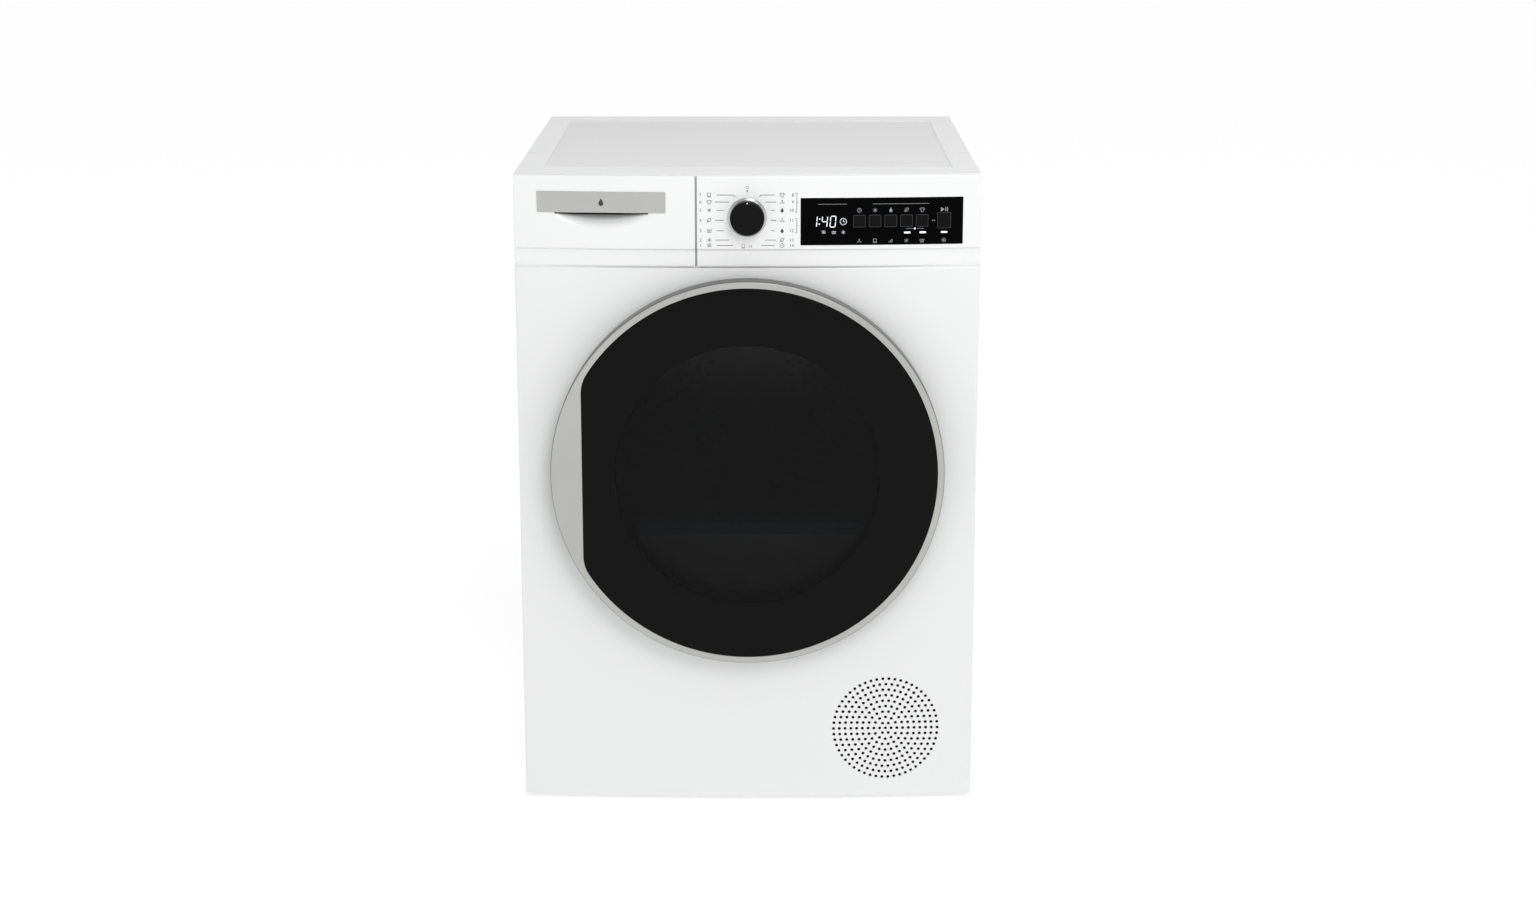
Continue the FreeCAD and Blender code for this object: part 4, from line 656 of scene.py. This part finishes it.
# ---------------------------------------------------------------- printing
def stroke(line, width, closed=False):
    """A flat band of that width along the points, with square ends."""
    p = np.array(line, float)
    n = len(p)
    step = np.roll(p, -1, 0) - p
    if not closed:
        step[-1] = step[-2]
    step /= np.maximum(np.linalg.norm(step, axis=1), 1e-9)[:, None]
    back = np.roll(step, 1, 0)
    if not closed:
        back[0] = step[0]
    n0 = np.stack([-back[:, 1], back[:, 0]], 1)
    n1 = np.stack([-step[:, 1], step[:, 0]], 1)
    side = n0 + n1
    side /= np.maximum((side * n1).sum(1), 0.35)[:, None]
    left, right = p + side * width / 2, p - side * width / 2
    points = [tuple(q) for q in left] + [tuple(q) for q in right]
    faces = [(k, (k + 1) % n, n + (k + 1) % n, n + k) for k in range(n if closed else n - 1)]
    return points, faces


def disc(x, z, r, count=20):
    return circle(x, z, r, count), [tuple(range(count))]


def arc(x, z, r, start, end, count=12):
    return [(x + r * math.cos(math.radians(start + (end - start) * k / count)),
             z + r * math.sin(math.radians(start + (end - start) * k / count))) for k in range(count + 1)]


def moved(shape, x, z, scale=1.0):
    points, faces = shape
    return [(x + p[0] * scale, z + p[1] * scale) for p in points], faces


def numerals(text, size, x, z, align="CENTER"):
    """A flat mesh of figures of that height, centred on z."""
    curve = bpy.data.curves.new("figures", "FONT")
    curve.body, curve.size, curve.align_x, curve.resolution_u = text, size, align, 3
    curve.space_character = 1.05
    obj = bpy.data.objects.new("figures", curve)
    bpy.context.scene.collection.objects.link(obj)
    bpy.context.view_layer.update()
    mesh = bpy.data.meshes.new_from_object(obj.evaluated_get(bpy.context.evaluated_depsgraph_get()))
    points = [(x + v.co.x, z - size * 0.35 + v.co.y) for v in mesh.vertices]
    faces = [tuple(f.vertices) for f in mesh.polygons]
    bpy.data.objects.remove(obj)
    bpy.data.curves.remove(curve)
    bpy.data.meshes.remove(mesh)
    return points, faces


def printed(name, shapes, sag, lift, body, finish, thick=0.06, face=0.0):
    """Print on a bowed face: flat shapes as a skin `thick` high that stands on the face, `lift` in front of it."""
    points, faces = join(*shapes)
    data = bmesh.new()
    verts = [data.verts.new((p[0], 0, p[1])) for p in points]
    for f in faces:
        try:
            data.faces.new([verts[i] for i in f])
        except ValueError:      # the same face again
            pass
    bmesh.ops.remove_doubles(data, verts=data.verts, dist=1e-4)
    bmesh.ops.subdivide_edges(data, edges=[e for e in data.edges if e.calc_length() > 12], cuts=3)
    bmesh.ops.recalc_face_normals(data, faces=data.faces)
    for f in data.faces:
        if f.normal.y > 0:
            f.normal_flip()
    made = bmesh.ops.extrude_face_region(data, geom=list(data.faces))
    for v in (g for g in made["geom"] if isinstance(g, bmesh.types.BMVert)):
        v.co.y -= thick
    for v in data.verts:
        v.co.y += bow(v.co.x, sag) - lift + face
    data.verts.index_update()
    out = [tuple(v.co) for v in data.verts], [tuple(v.index for v in f.verts) for f in data.faces]
    data.free()
    return piece(name, out, body, finish, weighted=False)


def drop(size):
    """A water drop, its tip up."""
    body = arc(0, -0.16 * size, 0.34 * size, 150, 390, 18)
    return [*body, (0, 0.56 * size)], [tuple(range(len(body) + 1))]


def icon(kind, s):
    """A small pictogram about s high, centred on 0."""
    w = 0.09 * s

    def line(*at, closed=False, width=w):
        """A stroke through points given in parts of s."""
        return stroke([(x * s, z * s) for x, z in at], width, closed)

    if kind == "shirt":
        return line((-.2, .4), (-.5, .25), (-.38, 0), (-.25, .06), (-.25, -.42), (.25, -.42), (.25, .06), (.38, 0),
                    (.5, .25), (.2, .4), (0, .3), closed=True)
    if kind == "towel":
        return join(line((-.34, -.4), (.34, -.4), (.34, .4), (-.34, .4), closed=True), line((-.34, -.2), (.34, -.2)))
    if kind == "clock":
        return join(stroke(circle(0, 0, .42 * s, 28), w, True), line((0, .26), (0, 0), (.2, -.06)))
    if kind == "sun":
        rays = [line((.3 * math.cos(a), .3 * math.sin(a)), (.47 * math.cos(a), .47 * math.sin(a)))
                for a in (math.pi / 4 * k for k in range(8))]
        return join(disc(0, 0, .19 * s), *rays)
    if kind == "drop":
        return drop(s * 0.95)
    if kind == "leaf":
        return join(line((-.36, -.3), (-.36, .05), (-.1, .34), (.4, .4), (.34, -.08), (.06, -.34), closed=True),
                    line((-.46, -.42), (.12, .12)))
    if kind == "hanger":
        return join(line((0, .08), (-.48, -.26), (.48, -.26), closed=True),
                    line((0, .08), (0, .2), *arc(0, .31, .1, -60, 180, 10)))
    if kind == "star":
        return join(*[line((-.44 * math.cos(a), -.44 * math.sin(a)), (.44 * math.cos(a), .44 * math.sin(a)))
                      for a in (math.radians(t) for t in (90, 30, 150))])
    if kind == "basket":
        return join(line((-.46, .2), (-.32, -.36), (.32, -.36), (.46, .2), closed=True),
                    line((-.12, .2), (-.09, -.36)), line((.12, .2), (.09, -.36)))
    if kind == "waves":
        return join(*[line(*[(-.42 + .84 * k / 12, z + .08 * math.sin(k * math.pi / 3)) for k in range(13)])
                      for z in (-.22, .04, .3)])
    if kind == "bars":
        return join(*[line((x, -.36), (x, h), width=w * 1.6) for x, h in ((-.3, -.1), (0, .12), (.3, .36))])
    return join(stroke(circle(0, 0, .36 * s, 24), w, True), disc(0, 0, .14 * s))


def build_knob_scale():
    """Numbered programs on both sides of the knob, each with a pictogram and a line that leads to the knob."""
    heights = [824.5, 815.5, 805.0, 792.0, 778.5, 766.5, 759.5]
    shapes = []
    icons_left = ["towel", "shirt", "star", "leaf", "basket", "sun", "waves"]
    icons_right = ["shirt", "hanger", "drop", "hanger", "drop", "leaf", "clock"]
    for k, z in enumerate(heights):
        near = 15 if k in (0, 6) else (20 if k in (1, 5) else 27)
        far = 39 if k % 2 == 0 else 41
        for side, icons, number, x, align, icon_x in ((-1, icons_left, 7 - k, -61.0, "LEFT", -48.5),
                                                      (1, icons_right, 8 + k, 59.5, "RIGHT", 44.5)):
            line = [(side * (far - (4 if side > 0 else 0)), z), (side * (near + 3), z)]
            if k == 0:
                line.append((side * near, z - 2.2))      # the top lines bend down to the knob
            shapes.append(stroke(line, 0.7))
            shapes.append(numerals(str(number), 5.6, x, z, align))
            shapes.append(moved(icon(icons[k], 6.2), icon_x, z))
    # marker over the knob and a rest position under it
    shapes.append(([(-1.3, 830.6), (1.3, 830.6), (0, 827.6)], [(0, 1, 2)]))
    shapes.append(stroke(circle(0, 834.3, 1.7, 20), 0.45, True))
    shapes.append(moved(icon("towel", 5.4), -5, 758.4))
    shapes.append(numerals("15", 5.4, 3.8, 758.4))
    # brackets that group the right-hand programs
    for z0, z1 in ((802.5, 826.5), (776.0, 794.5)):
        shapes.append(stroke([(61.0, z1), (63.2, z1), (63.2, z0), (61.0, z0)], 0.6))
        shapes.append(stroke([(63.2, (z0 + z1) / 2), (65.2, (z0 + z1) / 2)], 0.6))
    printed("program_scale", shapes, FASCIA_SAG, 0.0, "cabinet", PRINT)
    # the pointer on the knob has no lamp: it is printed in the display's glowing white, a painted glow
    printed("knob_pointer_painted_glow", [stroke([(0, KNOB_Z + 17.0), (0, KNOB_Z + 21.0)], 0.9)], FASCIA_SAG, 0.0, "knob",
            LIT_AND_PAINTED_GLOW, face=KNOB_LO.y - bow(0, FASCIA_SAG) + 0.3, thick=0.12)


def segments(digit, x, z, h=14.0, w=6.6, lean=0.09, bar=0.95):
    """A leaning seven-segment figure, h high and w wide, whose lower left corner is at (x, z)."""
    on = {"0": "abcdef", "1": "bc", "4": "fgbc"}[digit]
    ends = {"a": ((0, h), (w, h)), "b": ((w, h), (w, h / 2)), "c": ((w, h / 2), (w, 0)), "d": ((w, 0), (0, 0)),
            "e": ((0, 0), (0, h / 2)), "f": ((0, h / 2), (0, h)), "g": ((0, h / 2), (w, h / 2))}
    out = []
    for s in on:
        (x0, z0), (x1, z1) = ends[s]
        length = math.hypot(x1 - x0, z1 - z0)
        dx, dz = (x1 - x0) / length, (z1 - z0) / length
        a, b, c = 0.35, bar / 2 + 0.35, bar / 2
        shape = [(x0 + dx * a, z0 + dz * a), (x0 + dx * b - dz * c, z0 + dz * b + dx * c),
                 (x1 - dx * b - dz * c, z1 - dz * b + dx * c), (x1 - dx * a, z1 - dz * a),
                 (x1 - dx * b + dz * c, z1 - dz * b - dx * c), (x0 + dx * b + dz * c, z0 + dz * b - dx * c)]
        out.append(([(x + px + lean * pz, z + pz) for px, pz in shape], [tuple(range(6))]))
    return join(*out)


def build_display_print():
    lift = WINDOW_PROUD
    # the time left, with its colon, and three lit bars
    bright = [*[segments(digit, x, 783.0) for digit, x in (("1", 81.6), ("4", 94.8), ("0", 105.4))],
              disc(91.8, 786.8, 0.8), disc(92.4, 793.4, 0.8), disc(214.0, 780.2, 1.1)]
    for x in (204.4, 224.4, 251.8):
        bright.append(([(x - 4, 774.1), (x + 4, 774.1), (x + 4, 776.2), (x - 4, 776.2)], [(0, 1, 2, 3)]))
    printed("display_lit", bright, FASCIA_SAG, lift, "cabinet", LIT_AND_PAINTED_GLOW)
    soft = [moved(icon("clock", 9.6), 122.6, 790.0), moved(icon("waves", 5.2), 97.5, 776.3),
            moved(icon("basket", 5.2), 110.5, 776.3), moved(icon("sun", 5.4), 122.6, 776.3)]
    printed("display_symbols", soft, FASCIA_SAG, lift, "cabinet", SOFT)
    dim = [stroke([(90, 812.4), (127, 812.4)], 0.45), stroke([(160, 812.4), (232, 812.4)], 0.45),
           stroke([(203, 780.2), (211, 780.2)], 0.4), stroke([(217, 780.2), (225, 780.2)], 0.4)]
    # pictograms over and under each button
    over = ["clock", "sun", "drop", "leaf", "shirt"]
    under = ["hanger", "towel", "bars", "star", "basket"]
    for k, name in enumerate(BUTTONS[:5]):
        lo, hi = mm_box(name)
        x = (lo.x + hi.x) / 2
        dim.append(moved(icon(over[k], 6.0), x, 804.4))
        dim.append(moved(icon(under[k], 6.0), x, 764.8))
    # start and pause
    lo, hi = mm_box(BUTTONS[5])
    x = (lo.x + hi.x) / 2
    dim.append(([(x - 4.2, 801.8), (x - 4.2, 807.4), (x + 0.4, 804.6)], [(0, 1, 2)]))
    dim += [stroke([(x + 2.0, 801.9), (x + 2.0, 807.3)], 1.0), stroke([(x + 4.2, 801.9), (x + 4.2, 807.3)], 1.0)]
    dim.append(moved(icon("ring", 6.4), x, 764.8))
    dim += [disc(236.8, 790.4, 0.7), disc(239.2, 790.4, 0.7)]
    printed("display_print", dim, FASCIA_SAG, lift, "cabinet", DIM)
    for name in BUTTONS:
        lo, hi = mm_box(name)
        frame_line = stroke(rounded((lo.x + 0.75, hi.x - 0.75), (lo.z + 0.75, hi.z - 0.75), 0.8, 3), 0.32, True)
        printed(name + "_outline", [frame_line], FASCIA_SAG, KEY_PROUD, name, LINE, thick=0.04)


build_knob_scale()
build_display_print()
printed("tank_mark", [moved(drop(9.5), sum(PLATE_X) / 2, sum(PLATE_Z) / 2)], FASCIA_SAG, PLATE_PROUD, "tank",
        DARK, thick=0.08)


# ---------------------------------------------------------------- worktop
def build_worktop():
    # the trims overlap the board a little, so that only their rounded edges show
    inner_x = (BOARD_LO.x + 0.3, BOARD_HI.x - 0.3)
    inner_y = (BOARD_LO.y + 0.3, BOARD_HI.y - 0.3)
    joint = FRONT + 195.3                # where the front trim meets the rear trim
    columns = span(-HALF, HALF, 12)

    def top_place(u, v, d):
        return (u, v, TOP_HI.z - d)

    front_edge = [(x, bow(x, FASCIA_SAG) + 4.0) for x in columns]
    front = front_edge + [(HALF, joint - 0.3), (inner_x[1], joint - 0.3), (inner_x[1], inner_y[0]),
                          (inner_x[0], inner_y[0]), (inner_x[0], joint - 0.3), (-HALF, joint - 0.3)]
    rear = [(-HALF, joint + 0.3), (inner_x[0], joint + 0.3), (inner_x[0], inner_y[1]), (inner_x[1], inner_y[1]),
            (inner_x[1], joint + 0.3), (HALF, joint + 0.3), (HALF, TOP_HI.y), (-HALF, TOP_HI.y)]
    grid = span(-HALF, HALF, 40)
    deep = TOP_HI.z - TOP_LO.z - 0.05
    for name, outline in (("worktop_front", front), ("worktop_rear", rear)):
        mesh = skin(outline, [], top_place, grid, span(FRONT, TOP_HI.y, 40), edge=1.6, depth=deep, steps=4, clear=2)
        piece(name, mesh, "cabinet", COVER, ("worktop_frame",) if outline is front else ())


build_worktop()


# ---------------------------------------------------------------- door
def d_radius(a, grow=0.0):
    """Distance from the door's centre to the glass's outline in direction a."""
    r, flat, f = GLASS_R + grow, -FLAT_X + grow, FLAT_ROUND + grow
    a = abs(math.atan2(math.sin(a), math.cos(a)))
    cz = math.sqrt((r - f) ** 2 - (flat - f) ** 2)
    if a < math.atan2(cz, -(flat - f)):
        return r
    if a > math.atan2(cz, -flat):
        return flat / abs(math.cos(a))
    cx = -(flat - f)
    along = cx * math.cos(a) + cz * math.sin(a)
    return along + math.sqrt(along ** 2 - cx * cx - cz * cz + f * f)


def angles(count=256):
    """Directions around the door, closer together around the ends of the straight edge."""
    extra = [math.pi + s * math.radians(t) for s in (-1, 1) for t in np.arange(24, 40, 0.7)]
    return sorted({round(a % (2 * math.pi), 6) for a in [2 * math.pi * k / count for k in range(count)] + extra})


def around(radius, y, turn):
    """A ring of points around the door's centre: radius(direction), at y or y(radius)."""
    return [(radius(a) * math.cos(a), y if not callable(y) else y(radius(a)), DOOR_Z + radius(a) * math.sin(a))
            for a in turn]


def build_door():
    turn = angles()

    def inner(grow):
        return lambda a: d_radius(a, grow + 0.15)

    def outer(r):
        return lambda a: r

    # silver ring, round outside and following the glass inside
    back = DOOR_FACE + 3
    rows = [around(inner(0), back, turn), around(inner(0), DOOR_FACE + 0.7, turn),
            around(inner(0.2), DOOR_FACE + 0.2, turn), around(inner(0.7), DOOR_FACE, turn)]
    edge_r = DOOR_R - 0.7
    for t in (0.1, 0.35, 0.65, 0.9):
        rows.append([(x0 + (x1 - x0) * t, DOOR_FACE, z0 + (z1 - z0) * t) for (x0, _, z0), (x1, _, z1) in
                     zip(around(inner(0.7), 0, turn), around(outer(edge_r - 0.8), 0, turn))])
    for k in range(5):
        a = math.pi / 2 * k / 4
        rows.append(around(outer(edge_r - 0.8 + 0.8 * math.sin(a)), DOOR_FACE + 0.8 - 0.8 * math.cos(a), turn))
    rows.append(around(outer(edge_r), back, turn))
    points, faces = lattice(rows)
    n = len(turn)
    last = (len(rows) - 1) * n
    faces += [(last + k, last + (k + 1) % n, (k + 1) % n, k) for k in range(n)]
    piece("door_ring", (points, faces), "door", SILVER, ("door_trim_ring",))

    # domed glass: an opaque border around a smoked window
    crown = (GLASS_R ** 2 + GLASS_CROWN ** 2) / (2 * GLASS_CROWN)        # radius of the dome

    def dome(r, thick=0.0):
        return DOOR_FACE - GLASS_CROWN + crown - math.sqrt((crown - thick) ** 2 - r * r)

    clear_r = 172.0
    rows = [around(outer(r), dome, turn) for r in (0.5, 30, 60, 90, 115, 135, 152, 165, clear_r)]
    split = len(rows) - 1
    for t in (0.12, 0.35, 0.6, 0.85, 0.97):
        rows.append(around(lambda a, t=t: clear_r + (d_radius(a, -1.4) - clear_r) * t, dome, turn))
    for k in range(5):
        a = math.pi / 2 * k / 4
        inset, drop_by = 1.2 * (1 - math.sin(a)), 1.2 * (1 - math.cos(a))
        rows.append([(x, dome(math.hypot(x, z - DOOR_Z)) + drop_by, z)
                     for x, _, z in around(lambda a2, i=inset: d_radius(a2, -i), 0, turn)])
    back_rows = [[(x, dome(math.hypot(x, z - DOOR_Z), 5.0), z) for x, _, z in around(r, 0, turn)]
                 for r in (lambda a: d_radius(a, 0), outer(clear_r), outer(120), outer(60), outer(0.5))]
    rows += back_rows
    points, faces = lattice(rows)
    n = len(turn)
    zone = []                            # 0 for the opaque border, 1 for the window
    for k in range(len(rows) - 1):
        clear = k < split or k >= len(rows) - len(back_rows) + 1
        zone += [1 if clear else 0] * n
    for ring in (0, len(rows) - 1):
        points.append((0, points[ring * n][1], DOOR_Z))
        tip = len(points) - 1
        faces += [(ring * n + k, ring * n + (k + 1) % n, tip) for k in range(n)]
        zone += [1] * n
    piece("door_pane", (points, faces), "door", [GLASS_EDGE, GLASS_CLEAR], ("door_glass",),
          indices=zone)

    # side band with the grip's cut-out on the left and the hinge slots on the right
    slot_y, grip_y = -312.5, -308.0      # the slots and the cut-out start here and run to the back
    y_rows = [DOOR_FACE + 1.3, slot_y, grip_y, -300.0, -296.0, RIM_HI.y]
    edge_a = [math.asin(70 / DOOR_R), math.asin(69 / DOOR_R), math.asin(71 / DOOR_R)]
    marks = [math.pi - e for e in edge_a] + [math.pi + e for e in edge_a]
    slots = []
    for low in (-30.0, 22.0):
        a0, a1 = math.asin((low - 0.8) / DOOR_R), math.asin((low + 8.8) / DOOR_R)
        slots.append((a0, a1))
        marks += [a0, a1]
    turn = sorted({round(a % (2 * math.pi), 6) for a in [2 * math.pi * k / 240 for k in range(240)] + marks})
    rows = [[(DOOR_R * math.cos(a), y, DOOR_Z + DOOR_R * math.sin(a)) for a in turn] for y in y_rows]
    points, faces = lattice(rows)
    n, kept = len(turn), []
    for i, f in enumerate(faces):
        row, k = divmod(i, n)
        a0, a1 = turn[k], turn[(k + 1) % n]
        mid = (a0 + a1) / 2 if a1 > a0 else 0.0
        lean = mid - 2 * math.pi if mid > math.pi else mid
        y_mid = (y_rows[row] + y_rows[row + 1]) / 2
        grip = y_mid > grip_y and abs(mid - math.pi) < edge_a[0]
        slotted = y_mid > slot_y and any(s0 < lean < s1 for s0, s1 in slots)
        if not (grip or slotted):
            kept.append(f)
    used = sorted({i for f in kept for i in f})
    back_to = {i: k for k, i in enumerate(used)}
    band = piece("door_band", ([points[i] for i in used], [tuple(back_to[i] for i in f) for f in kept]), "door",
                 RIM, ("door_rim",), weighted=False)
    solid = band.modifiers.new("wall", "SOLIDIFY")
    solid.thickness, solid.offset = 1.1 * MM, -1
    soft = band.modifiers.new("edges", "BEVEL")
    soft.width, soft.segments, soft.limit_method, soft.angle_limit = 0.5 * MM, 2, "ANGLE", math.radians(40)


build_door()


# ---------------------------------------------------------------- stage
floor_mesh = bpy.data.meshes.new("floor")
REACH = 60                               # metres from the middle of the floor to its edges
floor_mesh.from_pydata([(-REACH, -REACH, 0), (REACH, -REACH, 0), (REACH, REACH, 0), (-REACH, REACH, 0)], [],
                       [(0, 1, 2, 3)])
floor = bpy.data.objects.new("floor", floor_mesh)
bpy.context.scene.collection.objects.link(floor)
floor_mesh.materials.append(material("pale_floor", (0.52, 0.52, 0.52), 0.9, vary=0.004, patch=0.7, grain=60, bump=0.0,
                                     spec=0.0, glow=1.32))


def area_light(name, at, aim, size, power):
    """A square light of that size in metres and power in watts, turned towards aim."""
    lamp = bpy.data.lights.new(name, "AREA")
    lamp.shape, lamp.size, lamp.energy = "SQUARE", size, power
    obj = bpy.data.objects.new(name, lamp)
    obj.location = at
    obj.rotation_euler = (Vector(aim) - Vector(at)).to_track_quat("-Z", "Y").to_euler()
    bpy.context.scene.collection.objects.link(obj)


area_light("key", (0.85, -3.25, 2.95), (0, 0, 0.5), 1.7, 49.5)
area_light("top", (0.35, -0.75, 2.25), (0, -0.1, 0.85), 1.0, 6)

world = bpy.data.worlds.new("studio")
bpy.context.scene.world = world
world.use_nodes = True
sky = world.node_tree


def sky_node(kind, **inputs):
    n = sky.nodes.new(kind)
    for key, value in inputs.items():
        n.inputs[key.replace("_", " ")].default_value = value
    return n


# white at the horizon, darker overhead
toward = sky_node("ShaderNodeSeparateXYZ")
sky.links.new(sky_node("ShaderNodeTexCoord").outputs["Generated"], toward.inputs[0])
height = sky_node("ShaderNodeMapRange", From_Min=0.14, From_Max=0.6, To_Min=1.0, To_Max=0.5)
sky.links.new(toward.outputs["Z"], height.inputs["Value"])
sky.links.new(height.outputs[0], sky.nodes["Background"].inputs["Strength"])
sky.nodes["Background"].inputs["Color"].default_value = (1, 1, 1, 1)

bpy.context.scene.view_settings.view_transform = "Standard"

CAMERA_AHEAD, CAMERA_HEIGHT = 3240, 1320
CAMERA_PITCH = 12.77                     # degrees below level
camera_data = bpy.data.cameras.new("camera")
camera_data.lens, camera_data.sensor_width = 60.0, 36.0
camera_data.shift_y = -0.0488
camera_data.clip_end = 200
camera = bpy.data.objects.new("camera", camera_data)
camera.location = (0.0265, (FRONT - CAMERA_AHEAD) * MM, CAMERA_HEIGHT * MM)
camera.rotation_euler = (math.radians(90 - CAMERA_PITCH), 0, 0)
bpy.context.scene.collection.objects.link(camera)
bpy.context.scene.camera = camera
